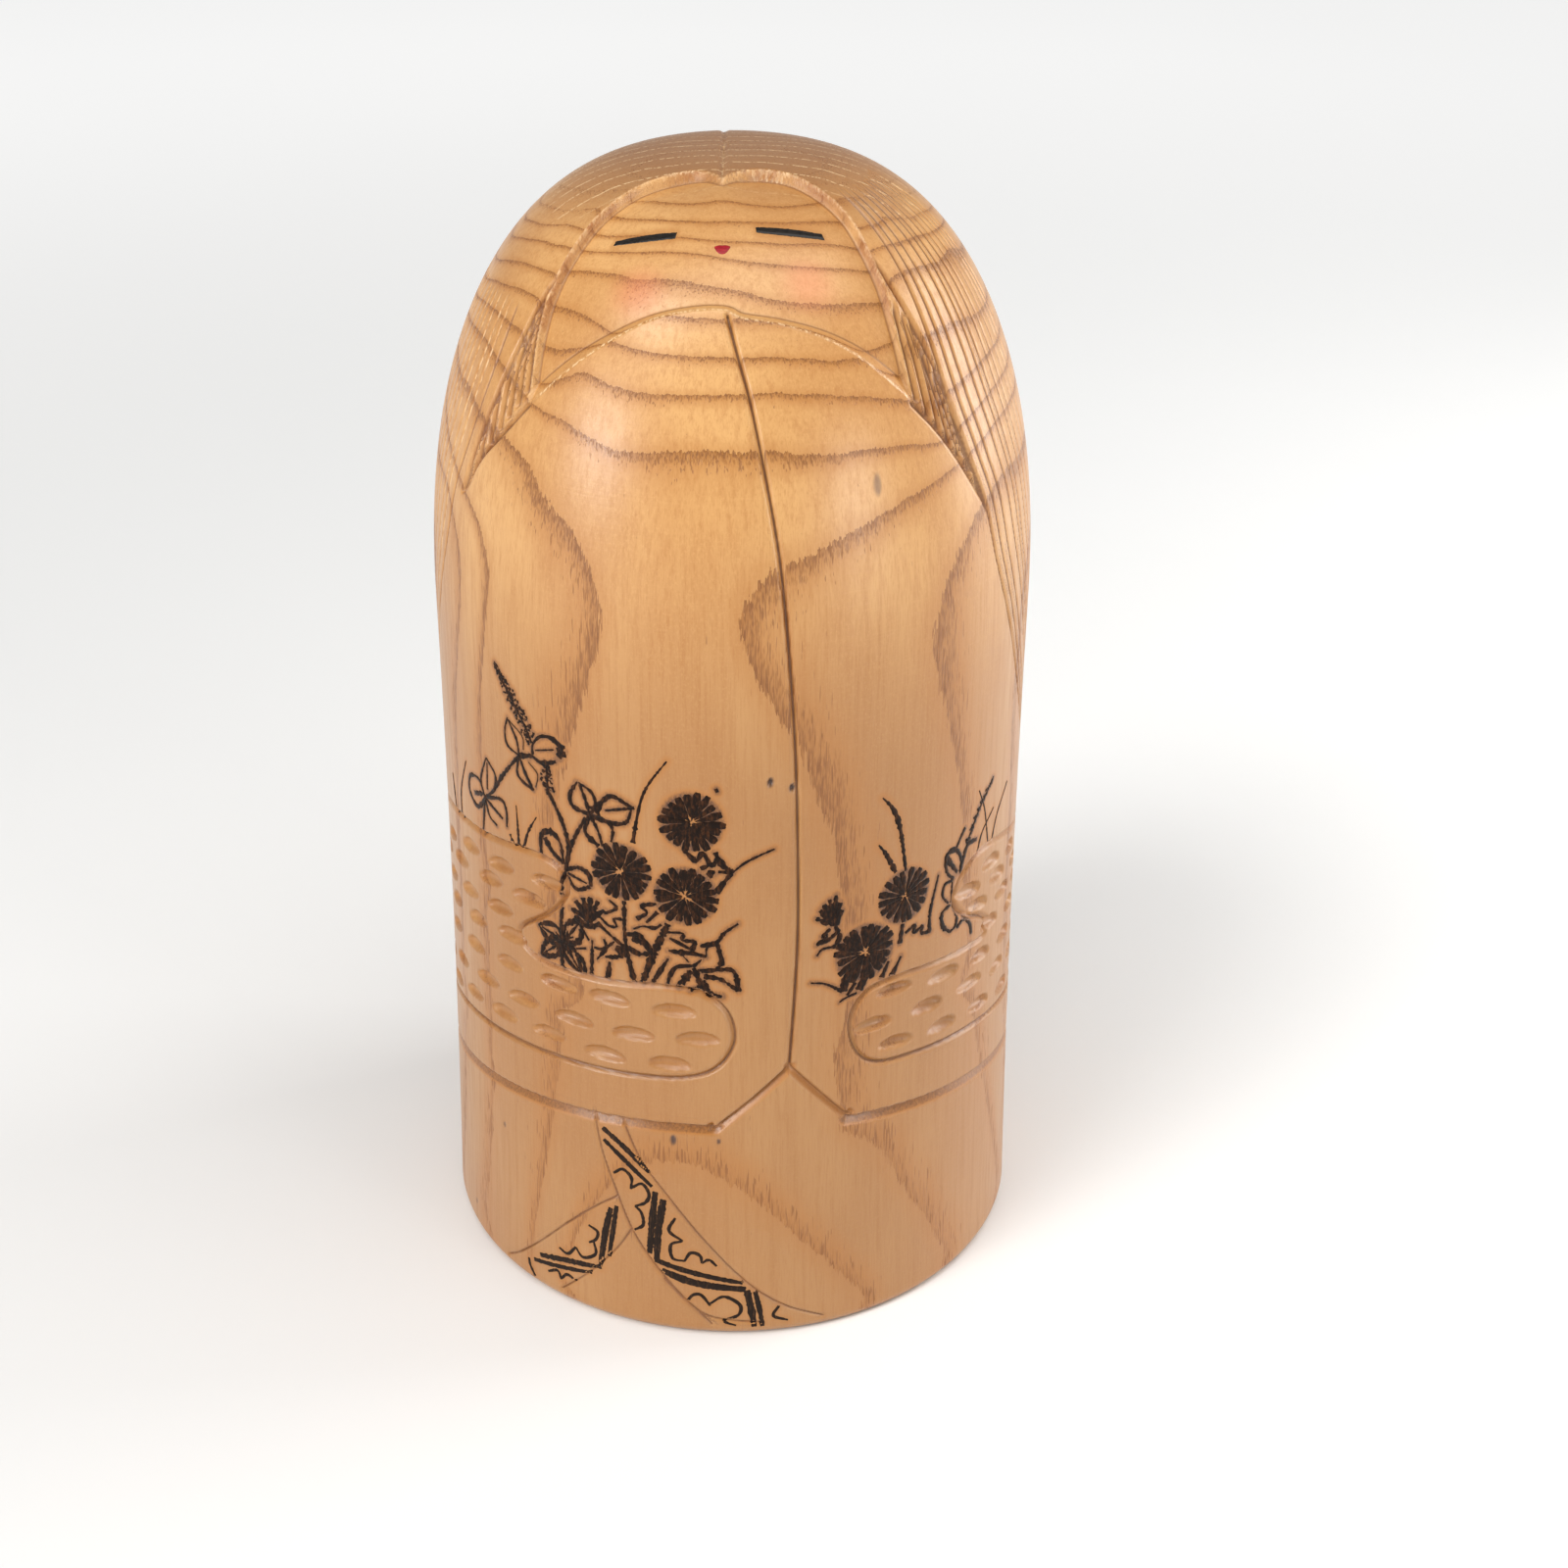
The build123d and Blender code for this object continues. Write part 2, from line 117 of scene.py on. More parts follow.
def column_angles():
    """Angles of the columns, fine over the front and coarse behind."""
    front_angle = 2 * FRONT_HALF_ANGLE
    back_angle = 2 * math.pi - front_angle
    front = int(front_angle * UNROLL_RADIUS / FINE / COLUMN_BLOCK) * COLUMN_BLOCK
    back = int(back_angle * UNROLL_RADIUS / COARSE / COLUMN_BLOCK) * COLUMN_BLOCK
    front_angles = np.linspace(-FRONT_HALF_ANGLE, FRONT_HALF_ANGLE, front, endpoint=False)
    back_angles = FRONT_HALF_ANGLE + np.linspace(0, back_angle, back, endpoint=False)
    return np.concatenate([front_angles, back_angles])


row_z, row_r = profile_rows()
angles = column_angles()
wrapped = (angles + math.pi) % (2 * math.pi) - math.pi
slope_z = np.gradient(row_z)
slope_r = np.gradient(row_r)
slope = np.hypot(slope_z, slope_r)
normal_out = slope_z / slope
normal_up = -slope_r / slope
normal_out[-1], normal_up[-1] = 0.0, 1.0

# Every vertex of the grid, rows by columns
U = np.broadcast_to(wrapped * UNROLL_RADIUS, (len(row_z), len(angles)))
Z = np.broadcast_to(row_z[:, None], U.shape)
X = row_r[:, None] * np.sin(wrapped)
Y = -row_r[:, None] * np.cos(wrapped)
# Every vertex on the face plane: its x is X, FACE_V runs up the plane and FACE_W out of it
FACE_V = Y * math.sin(FACE_TILT) + (Z - FACE_Z) * math.cos(FACE_TILT)
FACE_W = -Y * math.cos(FACE_TILT) + (Z - FACE_Z) * math.sin(FACE_TILT)
# What is carved and painted at every vertex
NO_GROOVE = 9.0  # a distance beyond every groove's line
depth = np.zeros(U.shape)  # how far the tools went below the skin
cut = np.zeros(U.shape)  # 1 where a gouge or knife has bared fresh end grain
burn_and_shade = np.zeros(U.shape)  # brown of the burning pen, and brown painted shade in the hem grooves and along the scoops' upper edges
blush = np.zeros(U.shape)  # pink of the cheeks
mark = np.zeros(U.shape)  # pin knots and wormholes
face_shade_relief = np.zeros(U.shape)  # above 0 in the face, where the painted shade of up-facing end grain is lighter
groove_offset = np.full(U.shape, NO_GROOVE)  # signed distance from the middle of the nearest groove
groove_shade_and_glint = np.zeros(U.shape)  # how dark that groove's line of painted shade is; below 0 it is a pale painted highlight


def curve(points, step=0.5):
    """A smooth line through points, as close points in order; between two points it is straight."""
    p = np.array(points, float)
    if len(p) == 2:
        count = max(2, int(np.hypot(*(p[1] - p[0])) / step))
        return p[0] + (p[1] - p[0]) * np.linspace(0, 1, count)[:, None]
    ends = np.vstack([2 * p[0] - p[1], p, 2 * p[-1] - p[-2]])
    out = []
    for a, b, c, d in zip(ends, ends[1:], ends[2:], ends[3:]):
        count = max(2, int(np.hypot(*(c - b)) / step))
        t = np.linspace(0, 1, count, endpoint=False)[:, None]
        spin = 2 * b + (c - a) * t + (2 * a - 5 * b + 4 * c - d) * t**2
        out.append((spin + (3 * b - a - 3 * c + d) * t**3) / 2)
    return np.vstack(out + [p[-1:]])


def near(px, py, line, reach):
    """Indices of the points within reach of a line, their signed distance (positive to its left)
    and their place along it from 0 to 1."""
    low, high = line.min(0) - reach, line.max(0) + reach
    inside = np.flatnonzero((px > low[0]) & (px < high[0]) & (py > low[1]) & (py < high[1]))
    qx, qy = px[inside], py[inside]
    best = np.full(len(inside), np.inf)
    side = np.ones(len(inside))
    along = np.zeros(len(inside))
    steps = np.hypot(*np.diff(line, axis=0).T)
    place = np.concatenate([[0], np.cumsum(steps)]) / steps.sum()
    for i, (a, b) in enumerate(zip(line[:-1], line[1:])):
        box = (np.minimum(a, b) - reach, np.maximum(a, b) + reach)
        here = (qx > box[0][0]) & (qx < box[1][0]) & (qy > box[0][1]) & (qy < box[1][1])
        here = np.flatnonzero(here)
        if len(here) == 0:
            continue
        dx, dy = b - a
        t = np.clip(((qx[here] - a[0]) * dx + (qy[here] - a[1]) * dy) / (dx * dx + dy * dy), 0, 1)
        ex, ey = qx[here] - a[0] - t * dx, qy[here] - a[1] - t * dy
        distance = np.hypot(ex, ey)
        closer = distance < best[here]
        chosen = here[closer]
        best[chosen] = distance[closer]
        side[chosen] = np.where(dx * ey[closer] - dy * ex[closer] >= 0, 1, -1)
        along[chosen] = place[i] + t[closer] * (place[i + 1] - place[i])
    keep = best < reach
    return inside[keep], (best * side)[keep], along[keep]


UPPER_Z = 175.0  # the face and the parting are above this height
front_side = np.flatnonzero((FACE_W > 0).ravel() & (Z > UPPER_Z).ravel())
DOMAINS = {
    "skin": (U.ravel(), Z.ravel(), None),
    "face": (X.ravel()[front_side], FACE_V.ravel()[front_side], front_side),
}


def near_grid(domain, line, reach):
    """near() on the grid's vertices, in skin or face coordinates."""
    px, py, chosen = DOMAINS[domain]
    found, distance, along = near(px, py, line, reach)
    return (found if chosen is None else chosen[found]), distance, along


def inside_outline(px, py, outline):
    """Whether points are inside a closed outline."""
    result = np.zeros(px.shape, bool)
    for (ax, ay), (bx, by) in zip(outline, np.roll(outline, -1, axis=0)):
        crosses = (ay > py) != (by > py)
        result ^= crosses & (px < (bx - ax) * (py - ay) / (by - ay + 1e-12) + ax)
    return result


# ---- Carving tools ----
LINE_REACH = 1.5  # how far from a groove its line is looked for
TRUE_U = np.minimum(1.0, np.broadcast_to(row_r[:, None] / UNROLL_RADIUS, U.shape)).ravel()


def raise_to(array, found, value):
    """Raises a value of the grid at some vertices, where it is lower."""
    flat = array.reshape(-1)
    flat[found] = np.maximum(flat[found], value)


def draw_line(found, distance, tone):
    """Notes how far vertices are from the middle of a groove and how dark its line is."""
    groove_offset.reshape(-1)[found] = distance
    groove_shade_and_glint.reshape(-1)[found] = tone


def groove(points, left, right, deep, domain="skin", fade=(0.0, 0.0), tint=1.0, drawn=0.8, shade_in_groove=0.0):
    """A knife-cut groove: left and right are its half widths, fade the share of its length over
    which each end runs out, tint how much bare wood shows, drawn how dark the painted shade
    along its bottom is (below 0 a pale painted highlight instead), and the last how much brown
    painted shade fills it."""
    found, distance, along = near_grid(domain, curve(points), max(left, right, LINE_REACH))
    if domain == "skin":
        distance = distance * TRUE_U[found]
    across = 1 - np.where(distance > 0, distance / left, -distance / right)
    run = np.ones(len(along))
    for share, from_end in zip(fade, (along, 1 - along)):
        if share:
            run *= smoothstep(0, share, from_end)
    shape = np.clip(across, 0, 1) * run
    raise_to(depth, found, depth.reshape(-1)[found] * (1 - shape) + deep * shape)
    raise_to(cut, found, tint * np.clip(shape * 1.6, 0, 1))
    raise_to(burn_and_shade, found, shade_in_groove * smoothstep(0, 0.3, shape))
    closer = np.abs(distance) < np.abs(groove_offset.reshape(-1)[found])
    draw_line(found[closer], distance[closer], (drawn * run)[closer])


def dimple(u, z, length, width, deep, lean):
    """One scoop of a round gouge, longer than wide, with brown painted shade along its upper edge."""
    cosine, sine = math.cos(lean), math.sin(lean)
    px, py, _ = DOMAINS["skin"]
    found = np.flatnonzero((np.abs(px - u) < length / 2) & (np.abs(py - z) < length / 2))
    dx, dy = px[found] - u, py[found] - z
    along = (dx * cosine + dy * sine) / (length / 2)
    across = (-dx * sine + dy * cosine) / (width / 2)
    bowl = np.clip(1 - along**2 - (across + 0.25 * along**2) ** 2, 0, 1)
    depth.reshape(-1)[found] += deep * bowl**0.55
    edge = smoothstep(0, 0.1, bowl) * (1 - smoothstep(0.25, 0.8, bowl))
    raise_to(cut, found, 0.42 * edge)
    # painted shade: brown on the scoop's upper edge, where its wall faces down
    raise_to(burn_and_shade, found, 0.17 * edge * smoothstep(-0.5, 0.3, across - 0.5 * along))


# ---- Face: let in below the hair cap and behind the collar ----
HAIRLINE_LEFT = (
    (-39.5, -15.5), (-38.5, -8), (-36.8, 0), (-34.5, 6.5), (-31, 13), (-25.5, 20.5), (-18, 26.5),
    (-10, 29.3), (-5.5, 29.2), (-2, 27),
)
HAIRLINE_RIGHT = (
    (-2, 27), (1, 28.9), (6, 30), (12, 28.6), (18, 24), (22.5, 18.5), (26, 11.5), (29, 4.5),
    (31, -2), (33, -9), (34.6, -16.3),
)
COLLAR = (
    (34.6, -16.3), (30, -14), (24, -11), (17, -8.6), (9, -7), (2, -6.2), (-1.6, -4.7), (-8, -4.6),
    (-15, -5.5), (-22, -7.8), (-30, -11), (-39.5, -15.5),
)
MIDDLE_X = -2.0  # where the parting meets the hairline
FACE_DEPTH_TOP = 2.2
FACE_DEPTH_LOW = 2.0
WALL = 0.6
COLLAR_BEVEL = 1.9
# how much lighter the painted shade of up-facing skin is in the face
FACE_SHADE_RELIEF = 0.45


def away_from(line):
    """How far the vertices on the face's side are from a line, where that is under 6 mm."""
    px, py, _ = DOMAINS["face"]
    away = np.full(len(px), np.inf)
    found, distance, _ = near(px, py, line, 6.0)
    away[found] = np.abs(distance)
    return away


def carve_face():
    """Lowers the face: a steep wall under the hair, a soft bevel up to the collar. It marks the face for
    lighter painted shade, and paints pale highlights along the hair's edge and the collar's crest and lines
    of shade along the foot of the wall and of the bevel.
    """
    hairline = np.vstack([curve(HAIRLINE_LEFT), curve(HAIRLINE_RIGHT)[1:]])
    collar = curve(COLLAR)
    px, py, _ = DOMAINS["face"]
    inside = inside_outline(px, py, np.vstack([hairline, collar[1:-1]]))
    from_hair, from_collar = away_from(hairline), away_from(collar)
    sides = smoothstep(8, 36, np.abs(px - MIDDLE_X))
    notch = np.exp(-(((px - MIDDLE_X) / 4) ** 2)) * smoothstep(14, 26, py)
    floor = FACE_DEPTH_LOW + (FACE_DEPTH_TOP - FACE_DEPTH_LOW) * smoothstep(-8, 24, py)
    floor = floor * (1 - 0.25 * sides) * (1 - 0.4 * notch)
    width = COLLAR_BEVEL * (0.8 + 0.6 * sides)
    floor = floor * smoothstep(0, WALL, from_hair) * np.clip(from_collar / width, 0, 1)
    carved = front_side[inside]
    depth.reshape(-1)[carved] = floor[inside]
    # marks the face for lighter painted shade
    face_shade_relief.reshape(-1)[carved] = FACE_SHADE_RELIEF
    cut.reshape(-1)[carved] = np.clip(1.4 - from_hair / (WALL * 1.1), 0, 1)[inside]
    wall_foot = from_hair - WALL - 0.25
    # painted light: a pale highlight on the hair's edge, painted shade at the foot of the wall and of the
    # collar's bevel, a pale highlight on the collar's crest
    for where, distance, tone in (
        ((from_hair < 0.6) & (from_collar > 1.5), from_hair, -0.3),
        (inside & (np.abs(wall_foot) < 0.6) & (from_collar > width + 0.5), wall_foot, 0.6),
        (inside & (from_collar < width + LINE_REACH) & (from_hair > 1.2), from_collar - width, 0.6),
        ((from_collar < 0.5) & (from_hair > 1.0), from_collar, -0.8),
    ):
        draw_line(front_side[where], distance[where], tone)


HAIR_WEDGES = (  # outer line of the gouged wedge beside each cheek, on the face plane
    ((26, 11.5), (30, 5), (34.5, -1.5), (40, -10), (45, -19), (50.3, -28)),
    ((-33, 9), (-37.5, 3), (-41, -2.5), (-46, -10), (-50, -16), (-54, -23)),
)
HAIR_GOUGES = (
    ((30.5, 2), (33, -7), (35.6, -16.5)), ((32, 1), (35, -8), (38, -18.3)),
    ((33.6, 0), (37, -9), (40.2, -19.8)), ((36, -4.5), (39, -12), (42.6, -21.3)),
    ((38.5, -8), (41, -14), (44.8, -22.6)), ((42, -13), (44, -18), (47, -24)),
    ((-36, 6), (-38.2, -3), (-39.8, -13.5)), ((-38, 2), (-40.2, -6), (-41.6, -15)),
    ((-39.6, -1), (-42, -8), (-43.6, -16.2)), ((-42.5, -5), (-44.2, -11), (-45.6, -17.5)),
    ((-45.5, -9), (-46.6, -14), (-47.8, -18.6)), ((-48.2, -13), (-49.2, -17), (-50.4, -20)),
)
HAIR_EDGES = (
    ((-39.5, -15.3), (-45, -18), (-50.5, -20.2), (-54, -24)),
    ((34.6, -16.6), (41, -20.3), (47.5, -25.3), (50.3, -28)),
)
PARTING_X = -1.7
PARTING_HALF_WIDTH = 0.9
STRANDS = 12
STRAND_PITCH = 3.5
STRAND_SIDES = (  # side, place of the first strand, height it starts at, depth, line: painted shade, below 0 a pale painted highlight
    (-1, 65.0, 226, 0.30, -0.8), (1, 53.5, 246, 0.45, 1.0),
)
STRAND_SHIFT = (  # how far a strand has swept back at each height
    (246, 0.0), (215, 0.0), (200, 3.5), (188, 8.0), (175, 11.5), (160, 18.0), (140, 28.0),
    (122, 39.0), (112, 46.0),
)


def carve_hair():
    """Parting, gouged wedges beside the cheeks, and long strand lines that sweep to the back. The lines along
    the grooves are painted shade, except those of the parting and the left strands, which are pale painted
    highlights.
    """
    parting = ((-2, 26), (-1.8, 34), (-1.6, 44))
    groove(parting, PARTING_HALF_WIDTH, PARTING_HALF_WIDTH, 0.5, "face", (0.1, 0.0), 0.25, -0.4)
    px, py = X.ravel(), Y.ravel()
    over_crown = curve(((PARTING_X, -10), (PARTING_X, 60)))
    found = near(px, py, over_crown, PARTING_HALF_WIDTH)[0]
    found = found[Z.ravel()[found] > UPPER_Z]
    raise_to(depth, found, 0.5 * (1 - np.abs(px[found] - PARTING_X) / PARTING_HALF_WIDTH))
    for wedge in HAIR_WEDGES:
        groove(wedge, 0.55, 0.55, 1.1, "face", (0.15, 0.0))
    for gouge in HAIR_GOUGES:
        groove(gouge, 0.68, 0.68, 1.3, "face", (0.2, 0.05), 0.75, 1.0)
    for border in HAIR_EDGES:
        groove(border, 0.75, 0.75, 1.35, "face", (0.0, 0.2))
    for side, first, top, strength, drawn in STRAND_SIDES:
        for k in range(STRANDS):
            start = first + k * STRAND_PITCH + RNG.uniform(-0.6, 0.6)
            sweep = 1 - 0.03 * k
            line = [(side * (start + shift * sweep), min(z, top)) for z, shift in STRAND_SHIFT]
            line = line[: len(line) - max(0, k - 4)]
            deep, tone = (strength * 0.9, drawn) if k else (strength * 1.5, 0.8)
            groove(line, 0.42, 0.42, deep, "skin", (0.02, 0.2), 0.3, tone)


# ---- Robes ----
SEAM = (
    (-1.2, 229), (1.5, 222), (4.2, 214), (7.2, 200), (9.6, 185), (11.4, 165), (12.8, 145),
    (13.5, 125), (13.8, 105), (13.2, 88), (12.2, 71.3),
)
HEM_LEFT = ((12.2, 71.3), (4.5, 63.8), (-3.2, 56.6), (-4, 56.3))
HEM_RIGHT = ((12.2, 71.3), (18, 64.5), (24.6, 57), (25.4, 56.6))
HEM_FRONT_Z = 43.5
HEM_SWING = 13.0
FOLDS = (
    ((-31, 55.3), (-29.3, 46), (-26.3, 37), (-21.5, 25), (-14, 14), (-4.5, 3.2)),
    ((-24.2, 55.3), (-20, 45.5), (-14, 37), (-6, 26), (3, 15), (11, 8), (20, 3.2)),
    ((-25.6, 34.5), (-31, 30), (-38, 23), (-47, 13), (-54, 6), (-58, 3)),
    ((-22.3, 26.5), (-26, 20), (-32, 12), (-38, 5.5), (-40.5, 3)),
    ((-15, 14.5), (-9, 8), (-4, 5), (6, 3.6)),
)


def hem_height(u):
    """Height of the outer robe's hem, a tilted ring that hangs lower behind."""
    return HEM_FRONT_Z + HEM_SWING * np.cos(u / UNROLL_RADIUS)


def carve_robes():
    """Front seam, the hem with its opening, and the folds of the under robe. Brown painted shade fills the
    hem's grooves.
    """
    groove(SEAM, 0.7, 0.6, 1.2, tint=0.6, drawn=1.0)
    sharp, soft = 0.45, 2.4
    for side, first, number, widths in ((-1, -4, 26, (soft, sharp)), (1, 25.4, 24, (sharp, soft))):
        end = side * (math.pi * UNROLL_RADIUS - 1)
        hem = [(u, hem_height(u)) for u in np.linspace(first, end, number)]
        # the hem's grooves are filled with brown painted shade
        groove(hem, *widths, 1.1, tint=0.0, drawn=1.0, shade_in_groove=0.62)
    groove(HEM_LEFT, 1.7, 0.45, 1.3, tint=0.1, drawn=1.0, shade_in_groove=0.38)
    groove(HEM_RIGHT, 0.45, 1.5, 1.3, tint=0.1, drawn=1.0, shade_in_groove=0.38)
    for fold in FOLDS:
        groove(fold, 0.45, 0.45, 0.6, tint=0.5)


LEFT_BAND = (
    (-150, 84), (-140, 94), (-120, 101), (-95, 107.5), (-80, 110.8), (-62, 113), (-50, 114.8),
    (-42, 115.2), (-37.4, 113.4), (-36, 109.8), (-37.2, 106.4), (-42, 101.2), (-48.8, 96.2),
    (-50.4, 93.4), (-48.2, 90.6), (-42, 89.4), (-28, 89.8), (-15, 91), (-7, 90.4), (-2, 87),
    (0.4, 82), (0.2, 76.6), (-3.4, 71.2), (-10, 68.4), (-22, 67.2), (-42, 65.9), (-62, 63.8),
    (-80, 60.9), (-95, 57.4), (-118, 53), (-138, 58), (-149, 70), (-150, 84),
)
RIGHT_BAND = (
    (150, 80), (141, 90), (122, 97), (100, 101), (84, 104), (74, 106.8), (65, 108.4), (58, 107.2),
    (53.8, 103.6), (53, 99.4), (57, 94.8), (64.5, 91), (67.6, 88.2), (66, 85.6), (58, 86.2),
    (46, 87.4), (36, 88), (29.5, 86.8), (26, 82.4), (25.6, 76.6), (28, 70.8), (33, 67.4), (44, 66),
    (62, 63.8), (80, 60.6), (97, 57), (120, 53), (140, 57), (150, 68), (150, 80),
)
DIMPLE_PITCH = 14.3
DIMPLE_ROWS = (  # height at the front, first u, how many
    (71.7, -13.5, 9), (78.2, -7.0, 10), (85.6, -11.7, 9), (92.8, -53.2, 6), (98.9, -57.0, 6),
    (104.6, -47.2, 6), (110.0, -41.8, 5), (71.7, 37.0, 7), (78.2, 31.8, 8), (84.6, 36.5, 7),
    (91.6, 70.0, 5), (97.2, 62.5, 5), (102.4, 59.0, 5), (107.2, 69.0, 3),
)
STRAIGHT_HALF = 30  # the rows of scoops are level this far to each side, and then droop


def carve_bands():
    """Two bands of cloud round the outer robe, each a grooved outline filled with gouge scoops."""
    for band, widths in ((LEFT_BAND, (0.45, 1.1)), (RIGHT_BAND, (1.1, 0.45))):
        groove(band, *widths, 1.15, tint=0.35, drawn=0.75)
    outlines = [curve(band, step=2.0) for band in (LEFT_BAND, RIGHT_BAND)]
    for front_z, first, number in DIMPLE_ROWS:
        for k in range(number):
            u = first + math.copysign(k * DIMPLE_PITCH, first)
            drop = 0.0025 * max(0.0, abs(u) - STRAIGHT_HALF) ** 2
            z = front_z - drop + RNG.uniform(-0.5, 0.5)
            u += RNG.uniform(-0.8, 0.8)
            place = (np.array([u]), np.array([z]))
            if not any(inside_outline(*place, outline)[0] for outline in outlines):
                continue
            tilt = -math.copysign(0.005 * max(0.0, abs(u) - STRAIGHT_HALF), u)
            lean = tilt + RNG.uniform(-0.06, 0.06)
            length, width = RNG.uniform(9.0, 10.4), RNG.uniform(3.0, 3.5)
            dimple(u, z, length, width, RNG.uniform(1.25, 1.5), lean)


carve_face()
carve_hair()
carve_bands()
carve_robes()


# ---- Places on the carved skin ----
def depth_at(u, z):
    """Carved depth at places on the skin, read between the grid's vertices."""
    row = np.interp(z, row_z, np.arange(len(row_z)))
    turn = np.asarray(u, float) / UNROLL_RADIUS
    turn = np.where(turn < angles[0], turn + 2 * math.pi, turn)
    column = np.interp(turn, np.append(angles, angles[0] + 2 * math.pi), np.arange(len(angles) + 1))
    r0, c0 = np.minimum(row.astype(int), len(row_z) - 2), column.astype(int)
    fr, fc = row - r0, column - c0
    c0 %= len(angles)
    c1 = (c0 + 1) % len(angles)
    top = depth[r0 + 1, c0] * (1 - fc) + depth[r0 + 1, c1] * fc
    bottom = depth[r0, c0] * (1 - fc) + depth[r0, c1] * fc
    return bottom * (1 - fr) + top * fr


def skin_point(u, z, lift):
    """Places on the carved skin, raised by lift, as an array of points in mm."""
    u, z = np.asarray(u, float), np.asarray(z, float)
    turn = u / UNROLL_RADIUS
    out = np.interp(z, row_z, normal_out)
    up = np.interp(z, row_z, normal_up)
    raised = lift - depth_at(u, z)
    radius = skin_radius(z) + out * raised
    return np.stack([radius * np.sin(turn), -radius * np.cos(turn), z + up * raised], -1)


def from_face(points):
    """Places (x, v) on the face plane as places (u, z) on the skin, by halving the search."""
    points = np.asarray(points, float)
    x, v = points[:, 0], points[:, 1]
    low, high = np.zeros(len(x)), np.full(len(x), 110.0)
    for _ in range(40):
        w = (low + high) / 2
        y = v * math.sin(FACE_TILT) - w * math.cos(FACE_TILT)
        z = FACE_Z + v * math.cos(FACE_TILT) + w * math.sin(FACE_TILT)
        within = (z < HEIGHT) & (np.hypot(x, y) < skin_radius(np.minimum(z, HEIGHT)))
        low, high = np.where(within, w, low), np.where(within, high, w)
    return np.stack([np.arctan2(x, -y) * UNROLL_RADIUS, z], -1)


# ---- Growth rings ----
# Rings stand round an upright pith that leaves the crown a little in front of its middle; towards
# the top they are wider from side to side. Each ring line below is (number of the ring, domain,
# points it passes through).
PITH_Y = -14.0
RING_WIDTH = 4.37
FIRST_RING = -12.0
TOP_STRETCH = 0.6
CROWN_STRETCH = 1.5
INNERMOST = -9.6  # nearer to the pith no line shows
RINGS = (
    (-9, "face", ((-10, 22.3), (10, 21.2))),
    (-8, "face", ((-20, 19.5), (-12, 17.6), (-2, 16.5), (8, 16.6), (20, 18.5))),
    (-7, "face", ((-25, 16), (-6, 11.8), (2, 11.2), (12, 11.2), (25, 13.5))),
    (-6, "face", ((-20, 10.5), (-8, 9), (0, 7), (8, 6.2), (18, 6.5), (27, 8))),
    (-5, "face", ((-30, 9), (-15, 3.5), (0, 0.3), (8, -1.5), (14, -1.8), (22, -0.5), (29, 1.5))),
    (-4, "face", ((-35, 3), (-27, -3), (-22, -7.5))),
    (-4, "face", ((31, -6), (23, -9.5))),
    (-3, "face", ((-24, -8), (-17, -11), (-8, -13), (2, -13.5), (20, -12.5))),
    (-2, "face", ((-35, -13), (-29, -12.5), (-22, -17), (-14, -19), (-5, -20), (15, -19), (30, -17))),
    (-1, "face", ((-39, -15), (-32, -20.5), (-25, -26), (-18, -28.5), (2, -29.5), (22, -28), (40, -21.5))),
    (0, "skin", ((-92, 210), (-73, 207), (-64, 204.4), (-55, 202.2), (-48, 199.4), (-35, 189),
                 (-29, 182), (-26.5, 172), (-30, 158), (-36, 140), (-39, 120), (-38, 80),
                 (-42, 50), (-50, 10))),
    (0, "skin", ((60, 199), (45, 196), (30, 192), (15, 187), (8, 184), (3, 178), (2.5, 169),
                 (7, 158), (14, 145), (19, 133), (22, 120), (24, 85), (22, 68), (26, 54), (34, 42),
                 (40, 32), (48, 18), (54, 5))),
    (-1, "skin", ((-40, 8), (-35, 22), (-30, 33), (-22, 43), (-16, 46.4), (-8, 45.6), (-2, 43),
                  (5.5, 37), (13, 27), (22, 17), (30, 5))),
    (-1.45, "skin", ((-26, 8), (-20, 22), (-12, 30), (-3, 24), (4, 16), (10, 6))),
    (1, "skin", ((-90, 200), (-65, 187), (-58, 180), (-57, 170), (-62, 130), (-63, 45), (-68, 10))),
    (1, "skin", ((100, 193), (65, 190), (55, 184), (48, 176), (44, 165), (46, 152), (54, 125),
                 (58, 90), (64, 60), (72, 36), (82, 8))),
    (2, "skin", ((-78, 187), (-70, 178), (-68, 165), (-75, 130), (-80, 40), (-87, 10))),
    (-0.55, "skin", ((-10, 185), (-12, 165), (-12, 140), (-8, 110), (-6, 80), (-5, 66))),
)
HAIR_RINGS = (  # these bend the rings of the hair and the robes, but not those of the face
    (-8, "skin", ((-100, 242), (-72, 244.4), (-54, 245.6))),
    (-8, "skin", ((46, 246.8), (65, 246), (105, 242.8))),
    (-7, "skin", ((-99, 239), (-72, 241), (-57, 242.2))),
    (-7, "skin", ((45, 244.3), (69, 243.7), (105, 240.4))),
    (-6, "skin", ((-99, 236), (-76, 238), (-58, 239.6))),
    (-6, "skin", ((47, 240.4), (67, 240), (109, 237))),
    (-5, "skin", ((-95, 232.8), (-76, 235.2), (-57, 236.6))),
    (-5, "skin", ((49, 237.2), (67, 236.8), (92, 235.4))),
    (-4, "skin", ((-91, 229), (-72, 231.7), (-55, 232))),
    (-4, "skin", ((51, 232.7), (62, 232.5), (73, 232))),
    (-3, "skin", ((-86, 226), (-71, 227.6), (-60, 228))),
    (-2, "skin", ((-99, 220.5), (-80, 222.4), (-68, 222.2), (-58, 221.2))),
    (-1, "skin", ((-96, 217), (-76, 217.4), (-68, 216), (-61, 214.4), (-49, 210.4))),
)
